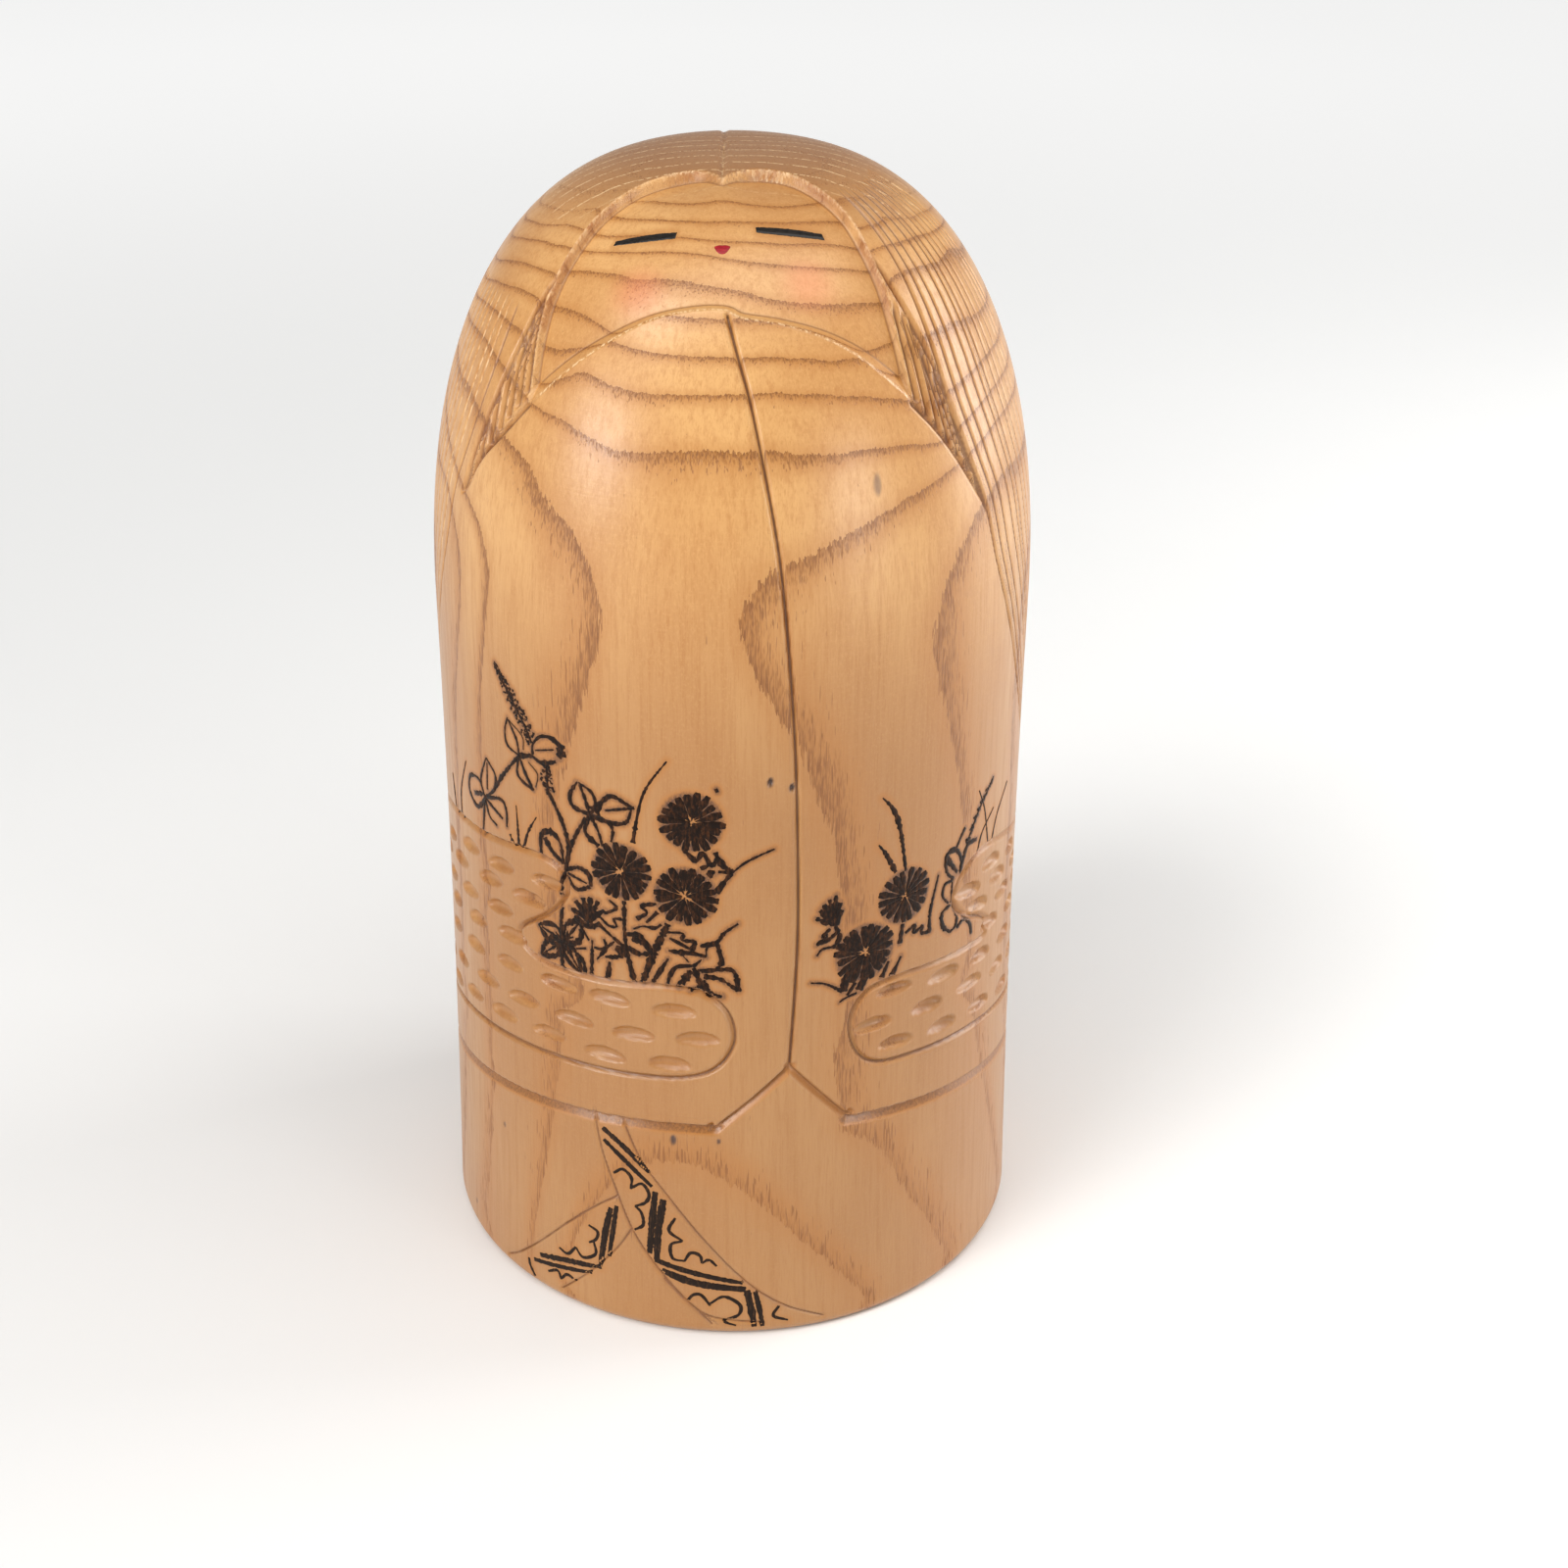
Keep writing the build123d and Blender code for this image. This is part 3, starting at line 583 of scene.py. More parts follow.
# Rings of all but the face: without the lines of its upper half, which only the face follows
OUTER_RINGS = HAIR_RINGS + tuple(ring for ring in RINGS if ring[0] > -4 or ring[1] == "skin")
REACH = 11.0  # how far a ring line's pull reaches
CONTROL_STEP = 6.0  # how far apart the points are that a ring line pulls from
SLACK = 0.01  # how far a ring may miss its line
BATCH = 20000  # vertices worked out at a time


def ring_trend(points):
    """Ring numbers of a plain log."""
    x, y, z = points.T
    behind_hairline = smoothstep(232, 246, z) * smoothstep(-22, -12, y)
    stretch = 1 + TOP_STRETCH * smoothstep(195, 240, z) + CROWN_STRETCH * behind_hairline
    return FIRST_RING + np.hypot(x / stretch, y - PITH_Y) / RING_WIDTH


def pull(distance):
    """How strongly a ring line pulls on a place at this distance."""
    return (1 + distance / REACH) * np.exp(-distance / REACH)


def ring_controls(rings):
    """Places on the skin that the ring lines pass through and how hard each one pulls."""
    places, numbers, trend = [], [], []
    for number, domain, points in rings:
        line = curve(points, CONTROL_STEP)
        line = from_face(line) if domain == "face" else line
        turn = line[:, 0] / UNROLL_RADIUS
        radius = skin_radius(line[:, 1])
        places.append(np.stack([radius * np.sin(turn), -radius * np.cos(turn), line[:, 1]], -1))
        trend.append(ring_trend(skin_point(line[:, 0], line[:, 1], 0.0)))
        numbers.append(np.full(len(line), float(number)))
    places = np.vstack(places)
    misfit = np.concatenate(numbers) - np.concatenate(trend)
    apart = np.linalg.norm(places[:, None] - places[None], axis=-1)
    return places, np.linalg.solve(pull(apart) + SLACK * np.eye(len(places)), misfit)


def ring_numbers(turned, carved, controls):
    """Ring number at each point: the plain log, bent to pass through the ring lines."""
    places, weights = controls
    result = ring_trend(carved)
    for start in range(0, len(turned), BATCH):
        part = turned[start : start + BATCH]
        squared = (part**2).sum(1)[:, None] + (places**2).sum(1) - 2 * part @ places.T
        result[start : start + BATCH] += pull(np.sqrt(np.maximum(squared, 0))) @ weights
    return result


def carved_points():
    """The grid's vertices after carving, in mm."""
    radius = row_r[:, None] - normal_out[:, None] * depth
    height = Z - normal_up[:, None] * depth
    return np.stack([radius * np.sin(wrapped), -radius * np.cos(wrapped), height], -1)


# ---- Meshes ----
def mesh_object(name, points, faces, material):
    """A shaded mesh object from points in mm, riding on the body."""
    mesh = bpy.data.meshes.new(name)
    mesh.from_pydata((np.asarray(points) * MM).tolist(), [], faces)
    mesh.shade_smooth()
    mesh.materials.append(material)
    piece = bpy.data.objects.new(name + "_look", mesh)
    bpy.context.scene.collection.objects.link(piece)
    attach(piece, "root")
    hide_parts(name)
    return piece


def strip(lower, upper):
    """Faces between two rings of vertices; the upper one may have half as many."""
    n = len(lower)
    if len(upper) == n:
        return [(lower[i], lower[(i + 1) % n], upper[(i + 1) % n], upper[i]) for i in range(n)]
    faces = []
    for j in range(n // 2):
        a, b, c = lower[2 * j], lower[2 * j + 1], lower[(2 * j + 2) % n]
        d, e = upper[j], upper[(j + 1) % (n // 2)]
        faces += [(a, b, d), (b, e, d), (b, c, e)]
    return faces


def end_grain_and_top_shade():
    """How much the skin faces up and so cuts the fibres, which run upright. Such end grain soaks
    up wax and darkens, and the darkening also stands as painted shade on the tops, though less so
    in the face."""
    return np.clip(normal_up, 0, 1)[:, None] * (1 - 0.4 * face_shade_relief)


def crown():
    """1 on the crown behind the hairline, where rings show as pale scratches."""
    return smoothstep(236, 242, Z) * smoothstep(-24, -17, Y)


def grid_rings(carved, outer):
    """Ring number at each vertex of the grid; the face has a field of its own."""
    turned, cut_back = np.stack([X, Y, Z], -1).reshape(-1, 3), carved.reshape(-1, 3)
    numbers = ring_numbers(turned, cut_back, outer)
    face = np.flatnonzero(face_shade_relief.ravel())
    numbers[face] = ring_numbers(turned[face], cut_back[face], ring_controls(RINGS))
    return np.maximum(numbers, INNERMOST).reshape(U.shape)


def halvings(radius):
    """How many times the columns are halved at a radius."""
    times = math.log2(max(1.0, 0.75 * UNROLL_RADIUS / max(radius, 0.5)))
    return min(int(times), 5)


def foot_profile():
    """Heights and radii of the rows under the grid: the flat base and the bevel's round."""
    radius = float(skin_radius(0.0))
    shares = (0.06, 0.12, 0.25, 0.45, 0.7, 0.9, 0.985, 1.0)
    base = [(0.0, share * (radius - FOOT_BEVEL_IN)) for share in shares]
    turns = np.linspace(0, math.pi / 2, 8)[1:-1]
    return base + [
        (FOOT_BEVEL_UP * (1 - math.cos(t)), radius - FOOT_BEVEL_IN * (1 - math.sin(t))) for t in turns
    ]


def build_block(material):
    """The block as one closed mesh: base disc, rounded foot edge, the carved grid and the pole."""
    carved = carved_points()
    outer = ring_controls(OUTER_RINGS)
    layers = {
        "ring": grid_rings(carved, outer), "crown": crown(), "end_grain_and_top_shade": end_grain_and_top_shade(), "cut": cut,
        "groove_offset": groove_offset, "groove_shade_and_glint": groove_shade_and_glint,
        "burn_and_shade": burn_and_shade, "blush": blush, "mark": mark,
    }
    points, values, rings = [], {key: [] for key in layers}, []

    def add_row(row_points, painted):
        """Adds a ring of vertices and what is painted on them; gives back their numbers."""
        first = sum(len(p) for p in points)
        points.append(row_points)
        for key in layers:
            plain = NO_GROOVE if key == "groove_offset" else 0.0
            values[key].append(painted.get(key, np.full(len(row_points), plain)))
        return list(range(first, first + len(row_points)))

    def grid_row(row, columns):
        return add_row(carved[row, columns], {key: layers[key][row, columns] for key in layers})

    for z, radius in foot_profile():
        turn = wrapped[:: 2 ** halvings(radius)]
        row = np.stack([radius * np.sin(turn), -radius * np.cos(turn), np.full(len(turn), z)], -1)
        rings.append(add_row(row, {"ring": ring_numbers(row, row, outer)}))
    for i in range(len(row_z) - 1):
        rings.append(grid_row(i, slice(None, None, 2 ** halvings(row_r[i]))))
    faces = []
    for lower, upper in zip(rings, rings[1:]):
        if len(upper) > len(lower):
            faces += [face[::-1] for face in strip(upper, lower)]
        else:
            faces += strip(lower, upper)
    base_middle = add_row(np.zeros((1, 3)), {})[0]
    pole = grid_row(-1, slice(0, 1))[0]
    first, last = rings[0], rings[-1]
    faces += [(b, a, base_middle) for a, b in zip(first, first[1:] + first[:1])]
    faces += [(a, b, pole) for a, b in zip(last, last[1:] + last[:1])]
    piece = mesh_object("carved_block", np.vstack(points), faces, material)
    for key in layers:
        layer = piece.data.attributes.new(key, "FLOAT", "POINT")
        layer.data.foreach_set("value", np.concatenate(values[key]).astype(np.float32))


# ---- Strokes of the burning pen and the brush ----
STROKE_SECTION = ((-1.0, -0.1), (-0.72, 0.07), (0.0, 0.03), (0.72, 0.07), (1.0, -0.1), (0.0, -0.4))
PEN = 1.36  # how much wider than drawn a stroke comes out
THINNEST = 0.12  # half width
HALO = 1.4  # how far the pen's brown halo reaches


class Drawing:
    """Strokes gathered into one piece; rough is how uneven their width is, halo how brown the
    wood beside them gets."""

    def __init__(self, name, slot, material, rough=0.22, halo=0.68):
        self.name, self.slot, self.material = name, slot, material
        self.rough, self.halo = rough, halo
        self.points, self.faces = [], []

    def stroke(self, points, *widths, step=0.45):
        """A stroke along points (u, z); widths are full widths spread evenly from start to end."""
        path = curve(points, step)
        place = np.linspace(0, 1, len(path))
        half = PEN * np.interp(place, np.linspace(0, 1, len(widths)), widths) / 2
        half = half * (1 + self.rough * RNG.standard_normal(len(path)))
        half = np.maximum(half, THINNEST)
        way = np.gradient(path, axis=0)
        way /= np.linalg.norm(way, axis=1)[:, None] + 1e-9
        across = np.stack([-way[:, 1], way[:, 0]], -1)
        count = len(STROKE_SECTION)
        first = len(self.points)
        rows = []
        for offset, lift in STROKE_SECTION:
            at = path + across * (half * offset)[:, None]
            rows.append(skin_point(at[:, 0], at[:, 1], lift))
        self.points += np.stack(rows, 1).reshape(-1, 3).tolist()
        ends = (path[0] - way[0] * half[0] * 0.8, path[-1] + way[-1] * half[-1] * 0.8)
        self.points += [skin_point(*end, -0.15).tolist() for end in ends]
        for i in range(len(path) - 1):
            for j in range(count):
                a, b = first + i * count + j, first + i * count + (j + 1) % count
                self.faces.append((a, b, b + count, a + count))
        start_tip, end_tip = len(self.points) - 2, len(self.points) - 1
        last = first + (len(path) - 1) * count
        for j in range(count):
            k = (j + 1) % count
            self.faces.append((first + k, first + j, start_tip))
            self.faces.append((last + j, last + k, end_tip))
        if self.halo:
            burn(path, float(np.mean(half)), self.halo)

    def leaf(self, hub, tip, left, right, width, vein):
        """A leaf drawn as two bowed edges and a vein; left and right are how far each edge bows."""
        hub, tip = np.array(hub, float), np.array(tip, float)
        way = tip - hub
        side = np.array([-way[1], way[0]]) / np.hypot(*way)
        for bow in (left, -right):
            points = (
                hub, hub + way * 0.2 + side * bow * 0.8, hub + way * 0.48 + side * bow,
                hub + way * 0.78 + side * bow * 0.62, tip + way * 0.04,
            )
            self.stroke(points, width * 0.8, width * 1.3, width * 1.1, width * 1.25, width * 0.5)
        self.stroke((hub, hub + way * 0.5, tip - way * 0.1), vein * 1.4, vein, vein * 0.5)
        for bow in (left, -right):
            start = hub + way * 0.12
            self.stroke((start, start + way * 0.24 + side * bow * 0.42), vein * 1.2, 0.3)

    def finish(self):
        """Makes the piece."""
        mesh_object(self.name, self.points, self.faces, self.material)


def burn(path, half, strength):
    """Darkens the wood round a stroke."""
    found, distance, _ = near_grid("skin", path, half + HALO)
    fade = 1 - smoothstep(half * 0.7, half + HALO, np.abs(distance))
    raise_to(burn_and_shade, found, strength * fade)


def flower(drawing, centre, radius, petals, gap):
    """A daisy head: tapered petals burned side by side round a small middle, in a brown disc."""
    turn0 = RNG.uniform(0, 1)
    width = 2 * math.pi * radius / petals / PEN
    for k in range(petals):
        turn = turn0 + 2 * math.pi * (k + RNG.uniform(-0.12, 0.12)) / petals
        inner = radius * RNG.uniform(0.03, 0.22)
        outer = radius * RNG.uniform(0.88, 1.04)
        bend = RNG.uniform(-0.05, 0.05)
        points = []
        for t in (0, 0.35, 0.7, 1):
            reach = inner + (outer - inner) * t
            at = turn + bend * t
            points.append((centre[0] + reach * math.cos(at), centre[1] + reach * math.sin(at)))
        full = width * RNG.uniform(0.92, 1.08) - gap
        drawing.stroke(points, 0.2, full * 0.42, full * 0.62, full * 0.82, full * 0.98, full * 0.72, step=0.5)
    away = np.hypot(U - centre[0], Z - centre[1])
    edge = 1 - smoothstep(radius * 0.88, radius + 1.7, away)
    disc = edge * (0.82 - 0.45 * (1 - smoothstep(0.3, 3.2, away)))
    np.maximum(burn_and_shade, disc, out=burn_and_shade)


# ---- Materials ----
class Shader:
    """A new material, with short ways to build its nodes."""

    def __init__(self, name):
        self.material = bpy.data.materials.new(name)
        self.material.use_nodes = True
        self.tree = self.material.node_tree
        self.surface = self.tree.nodes["Principled BSDF"].inputs

    def feed(self, socket, value):
        """Gives an input a value or links it to another node's output."""
        if isinstance(value, bpy.types.NodeSocket):
            self.tree.links.new(value, socket)
        else:
            socket.default_value = value

    def node(self, kind, inputs=(), **settings):
        """A node with its settings and inputs."""
        made = self.tree.nodes.new("ShaderNode" + kind)
        for key, value in settings.items():
            setattr(made, key, value)
        for key, value in dict(inputs).items():
            self.feed(made.inputs[key], value)
        return made

    def maths(self, operation, a, b=0.0, c=0.0):
        """A math node's result."""
        return self.node("Math", {0: a, 1: b, 2: c}, operation=operation).outputs[0]

    def times(self, a, b):
        """a * b"""
        return self.maths("MULTIPLY", a, b)

    def plus(self, a, b):
        """a + b"""
        return self.maths("ADD", a, b)

    def times_plus(self, a, b, c):
        """a * b + c"""
        return self.maths("MULTIPLY_ADD", a, b, c)

    def ramp(self, value, low, high, start=0.0, end=1.0, kind="SMOOTHSTEP"):
        """A value mapped from low..high to start..end and held there."""
        inputs = {0: value, 1: low, 2: high, 3: start, 4: end}
        return self.node("MapRange", inputs, interpolation_type=kind).outputs[0]

    def here(self):
        """The shaded place in object space, in metres."""
        return self.node("TexCoord").outputs["Object"]

    def noise(self, grain, detail, rough, seed):
        """Noise whose grain has these sizes in mm along x, y and z."""
        scale = tuple(1 / (size * MM) for size in grain)
        shift = (seed, seed * 1.7, seed * 0.6)
        place = self.node("Mapping", {"Vector": self.here(), "Scale": scale, "Location": shift})
        inputs = {"Vector": place.outputs[0], "Scale": 1.0, "Detail": detail, "Roughness": rough}
        return self.node("TexNoise", inputs).outputs[0]

    def mix(self, factor, a, b):
        """Two colours mixed; a colour is three numbers or a node's output."""
        made = self.node("Mix", data_type="RGBA", clamp_factor=True)
        self.feed(made.inputs[0], factor)
        for index, color in ((6, a), (7, b)):
            solid = not isinstance(color, bpy.types.NodeSocket)
            self.feed(made.inputs[index], (*color, 1.0) if solid else color)
        return made.outputs[2]

    def painted(self, name):
        """A value painted on the block."""
        return self.node("Attribute", attribute_name=name).outputs["Fac"]

    def cover(self, color, rough, shine):
        """Sets the surface's colour, roughness and shine."""
        self.feed(self.surface["Base Color"], color)
        self.feed(self.surface["Roughness"], rough)
        self.feed(self.surface["Specular IOR Level"], shine)

    def bump(self, height, strength, distance):
        """Bends the surface by a height; distance is in mm."""
        inputs = {"Height": height, "Strength": strength, "Distance": distance * MM}
        self.feed(self.surface["Normal"], self.node("Bump", inputs).outputs[0])


HONEY = (0.520, 0.252, 0.078)
PALE = (0.640, 0.350, 0.128)
AMBER = (0.395, 0.150, 0.026)
LATE_WOOD = (0.235, 0.084, 0.014)
# darkening of waxed end grain, also used as painted shade
SOAKED_AND_SHADE = (0.290, 0.122, 0.036)
PORE = (0.190, 0.062, 0.010)
BARED = (0.340, 0.120, 0.026)
# painted shade in the bottoms of grooves
GROOVE_SHADE = (0.150, 0.050, 0.014)
# pale scratches on the crown, and painted highlights along grooves
SCRATCH_AND_GLINT = (0.820, 0.560, 0.300)
# char of the burning pen, also used for painted shade in the hem grooves
SCORCH_AND_SHADE = (0.060, 0.017, 0.005)
BLUSH = (0.78, 0.20, 0.09)
KNOT = (0.075, 0.032, 0.018)


WOOD_GRAIN = {  # size in mm along x, y and z, detail, roughness and seed of each noise
    "broad": ((30, 30, 75), 2.0, 0.5, 3.0),
    "streaks": ((1.1, 1.1, 30), 3.0, 0.6, 11.0),
    "fibres": ((0.30, 0.30, 5.0), 2.0, 0.55, 23.0),
    "pores": ((0.34, 0.34, 5.5), 1.0, 0.4, 31.0),
    "wobble": ((9, 9, 26), 2.0, 0.5, 41.0),
    "jag": ((0.50, 0.50, 7.0), 2.0, 0.6, 53.0),
    "turning": ((14, 14, 0.45), 2.0, 0.6, 71.0),
    "grit": ((0.45, 0.45, 0.8), 3.0, 0.65, 61.0),
    "dashes": ((0.6, 0.6, 3.0), 1.0, 0.5, 83.0),
    "hairs": ((0.30, 0.30, 2.4), 1.0, 0.5, 97.0),
}


def plain_wood(s, grain, up):
    """Layers of the wood between its ring lines; each layer is a strength and a colour. The last
    two are painted shade: darker towards the foot, and darker on up-facing end grain, which
    wax also darkens.
    """
    return [
        (s.ramp(grain.broad, 0.35, 0.68), PALE),
        (s.ramp(grain.streaks, 0.42, 0.74, 0.0, 0.42), AMBER),
        (s.ramp(grain.fibres, 0.46, 0.75, 0.0, 0.36), AMBER),
        (s.ramp(grain.turning, 0.50, 0.80, 0.0, 0.16), PALE),
        (s.ramp(grain.grit, 0.48, 0.70, 0.0, 0.42), PALE),
        # painted shade: the wood gets darker towards the foot
        (s.ramp(up, 200 * MM, 125 * MM, 0.0, 0.62), SOAKED_AND_SHADE),
        # up-facing end grain: darker from soaked-in wax, and painted shade on the tops
        (s.ramp(s.painted("end_grain_and_top_shade"), 0.72, 0.98, 0.0, 0.85, "LINEAR"), SOAKED_AND_SHADE),
    ]


def growth_rings(s, grain, back, up):
    """The pores, and layers of the rings: a ring starts at a sharp line, runs through a band of
    large pores and fades. On the crown rings show as pale scratches instead, and near the foot
    they are softer."""
    on_crown = s.painted("crown")
    shown = s.maths("SUBTRACT", 1.0, on_crown)
    ring = s.times_plus(grain.wobble, 0.14, s.plus(s.painted("ring"), -0.07))
    part = s.maths("FRACT", s.times_plus(grain.jag, -0.15, s.plus(ring, 0.075)))
    sharp = s.ramp(up, 45 * MM, 110 * MM, 0.35, 1.0)
    start = s.maths("POWER", s.ramp(part, 0.0, 0.14, 1.0, 0.0, "LINEAR"), 1.3)
    start = s.times(s.times(start, s.ramp(grain.hairs, 0.34, 0.60, 0.45, 1.0)), sharp)
    ticks = s.times(s.ramp(part, 0.05, 0.20, 1.0, 0.0), s.ramp(grain.hairs, 0.50, 0.60))
    ticks = s.times(ticks, sharp)
    early = s.ramp(part, 0.0, 0.42, 1.0, 0.0)
    band = s.maths("MAXIMUM", s.times(early, 0.72), s.ramp(part, 0.78, 1.0, 0.0, 0.35))
    pore = s.maths("SUBTRACT", grain.pores, s.times_plus(early, -0.24, 0.78))
    pore = s.ramp(pore, 0.0, 0.06)
    arcs = s.times_plus(back, 0.25 / MM, s.times(grain.wobble, 0.5))
    arcs = s.maths("FRACT", s.plus(arcs, 50.0))
    scratch = s.times(s.ramp(arcs, 0.02, 0.13, 1.0, 0.0), s.ramp(grain.dashes, 0.40, 0.56))
    return pore, [
        (s.times(band, shown), AMBER),
        (s.times(s.times(start, 0.95), shown), LATE_WOOD),
        (s.times(s.times(ticks, 0.62), shown), LATE_WOOD),
        (s.times(pore, 0.60), PORE),
        (s.times(s.times(scratch, on_crown), 0.8), SCRATCH_AND_GLINT),
    ]


def tool_marks(s, grain):
    """How bare the wood is, how strong the line at the bottom of each groove is, and layers of
    both: the dark line is painted shade in the groove's bottom, the pale one a painted highlight."""
    bared = s.times(s.painted("cut"), s.ramp(grain.grit, 0.25, 0.7, 0.45, 1.0))
    bare_wood = s.mix(s.ramp(grain.wobble, 0.42, 0.62), BARED, PALE)
    offset = s.maths("ABSOLUTE", s.painted("groove_offset"))
    core = s.ramp(s.times_plus(grain.grit, -0.14, s.plus(offset, 0.07)), 0.08, 0.36, 1.0, 0.0)
    tone = s.painted("groove_shade_and_glint")
    # dark lines are painted shade along groove bottoms; pale lines are painted highlights
    dark = s.times(core, s.maths("MAXIMUM", tone, 0.0))
    pale = s.times(core, s.maths("MAXIMUM", s.times(tone, -1.0), 0.0))
    pale = s.times(pale, s.ramp(grain.dashes, 0.44, 0.56))
    layers = [(s.times(bared, 0.85), bare_wood), (s.times(dark, 0.85), GROOVE_SHADE), (pale, SCRATCH_AND_GLINT)]
    return bared, s.times(core, s.maths("ABSOLUTE", tone)), layers


def paint_burns_and_shade(s, grain):
    """Layers of pink, of scorched wood and painted shade, and of knots."""
    pink = s.times(s.painted("blush"), s.ramp(grain.grit, 0.2, 0.8, 0.75, 1.0))
    # the burns of the pen, with painted shade in the hem grooves and along the scoops' upper edges
    burned = s.times(s.painted("burn_and_shade"), s.ramp(grain.grit, 0.2, 0.75, 0.7, 1.15))
    return [
        (pink, BLUSH),
        (s.ramp(burned, 0.0, 0.42, 0.0, 0.85, "LINEAR"), AMBER),
        (s.ramp(burned, 0.30, 1.0), SCORCH_AND_SHADE),
        (s.painted("mark"), KNOT),
    ]


def wood_material():
    """Honey-coloured ring-porous wood under wax: growth rings, pores, flecks and scorching, with painted
    shade towards the foot, on up-facing skin and in grooves, and painted highlights along some grooves.
    """
    s = Shader("waxed_honey_wood")
    grain = SimpleNamespace(**{name: s.noise(*how) for name, how in WOOD_GRAIN.items()})
    place = s.node("SeparateXYZ", {0: s.here()}).outputs
    pore, ring_layers = growth_rings(s, grain, place["Y"], place["Z"])
    bared, line, tool_layers = tool_marks(s, grain)
    layers = plain_wood(s, grain, place["Z"]) + ring_layers + tool_layers + paint_burns_and_shade(s, grain)
    color = HONEY
    for strength, over in layers:
        color = s.mix(strength, color, over)
    rough = s.times_plus(pore, 0.18, s.ramp(grain.streaks, 0.3, 0.8, 0.34, 0.44))
    s.cover(color, s.times_plus(bared, 0.2, rough), 0.5)
    height = s.times_plus(grain.fibres, 0.35, s.times(pore, -1.0))
    height = s.times_plus(grain.turning, 0.5, height)
    height = s.times_plus(s.times(bared, grain.grit), 2.2, height)
    s.bump(s.times_plus(line, -2.0, height), 0.45, 0.12)
    s.feed(s.surface["Coat Weight"], 0.25)
    s.feed(s.surface["Coat Roughness"], 0.25)
    return s.material


def char_material():
    """Lines of the burning pen: black char that breaks to brown."""
    s = Shader("burned_line")
    patches = s.noise((0.7, 0.7, 1.4), 3.0, 0.6, 5.0)
    fibres = s.noise((0.25, 0.25, 2.5), 2.0, 0.6, 9.0)
    color = s.mix(s.ramp(patches, 0.42, 0.75), (0.010, 0.0045, 0.0025), (0.060, 0.021, 0.007))
    color = s.mix(s.ramp(fibres, 0.6, 0.85, 0.0, 0.6), color, (0.16, 0.07, 0.03))
    s.cover(color, s.ramp(patches, 0.3, 0.8, 0.30, 0.55), 0.12)
    s.bump(fibres, 0.5, 0.1)
    return s.material


def ink_material():
    """Matt black brush ink that lets a little grain through."""
    s = Shader("black_ink")
    patches = s.noise((0.5, 0.5, 2.2), 3.0, 0.6, 15.0)
    color = s.mix(s.ramp(patches, 0.5, 0.8), (0.016, 0.009, 0.006), (0.085, 0.04, 0.018))
    s.cover(color, s.ramp(patches, 0.3, 0.8, 0.45, 0.65), 0.12)
    s.bump(patches, 0.3, 0.08)
    return s.material


def lacquer_material(name, dark, light, rough):
    """Glossy paint with faint brush marks."""
    s = Shader(name)
    brush = s.noise((1.4, 0.3, 0.3), 2.0, 0.5, 19.0)
    color = s.mix(s.ramp(brush, 0.35, 0.75), dark, light)
    s.cover(color, s.ramp(brush, 0.3, 0.8, rough, rough + 0.12), 0.25)
    s.bump(brush, 0.25, 0.06)
    return s.material


# ---- Decoration ----
char = char_material()
ink = ink_material()


def draw_flowers():
    """Five daisy heads."""
    heads = (
        ("flower_head_left_upper", (-8.3, 130.3), 6.7, 18, 0.10),
        ("flower_head_left_middle", (-23.4, 116.9), 6.6, 18, 0.14),
        ("flower_head_left_lower", (-9.7, 113.1), 6.8, 18, 0.10),
        ("flower_head_right_upper", (38.4, 107.2), 6.6, 17, 0.26),
        ("flower_head_right_lower", (28.8, 96.3), 7.0, 19, 0.04),
    )
    for name, centre, radius, petals, gap in heads:
        drawing = Drawing(name, "burned_wood", char, rough=0.1, halo=0)
        flower(drawing, centre, radius, petals, gap)
        drawing.finish()


def draw(drawing, strokes):
    """Strokes given as (widths, points)."""
    for widths, points in strokes:
        drawing.stroke(points, *widths)


def fan(drawing, root, middle, tips, *widths):
    """A bud's petals: strokes from the root to each tip by way of a point halfway between the
    middle and the tip."""
    for x, z in tips:
        drawing.stroke((root, ((x + middle[0]) / 2, (z + middle[1]) / 2), (x, z)), *widths)


def spike(drawing, points, number, spread, size):
    """A flowering spike: a thin stem in a cloud of dabs that is widest at two thirds."""
    path = curve(points)
    drawing.stroke(points, 0.3, 0.6, 0.5)
    for k in range(number):
        share = (k + 0.5) / number
        wide = spread * (0.25 + 0.75 * math.sin(math.pi * share**1.2 * 0.8))
        turn, away = RNG.uniform(0, 2 * math.pi), wide * math.sqrt(RNG.uniform(0.1, 1))
        at = path[int(share * (len(path) - 1))] + away * np.array([math.cos(turn), math.sin(turn)])
        end = at + RNG.uniform(-0.3, 0.3, 2) + np.array([0.0, 0.3])
        drawing.stroke((at, end), size * RNG.uniform(0.6, 1.2), size, step=0.3)


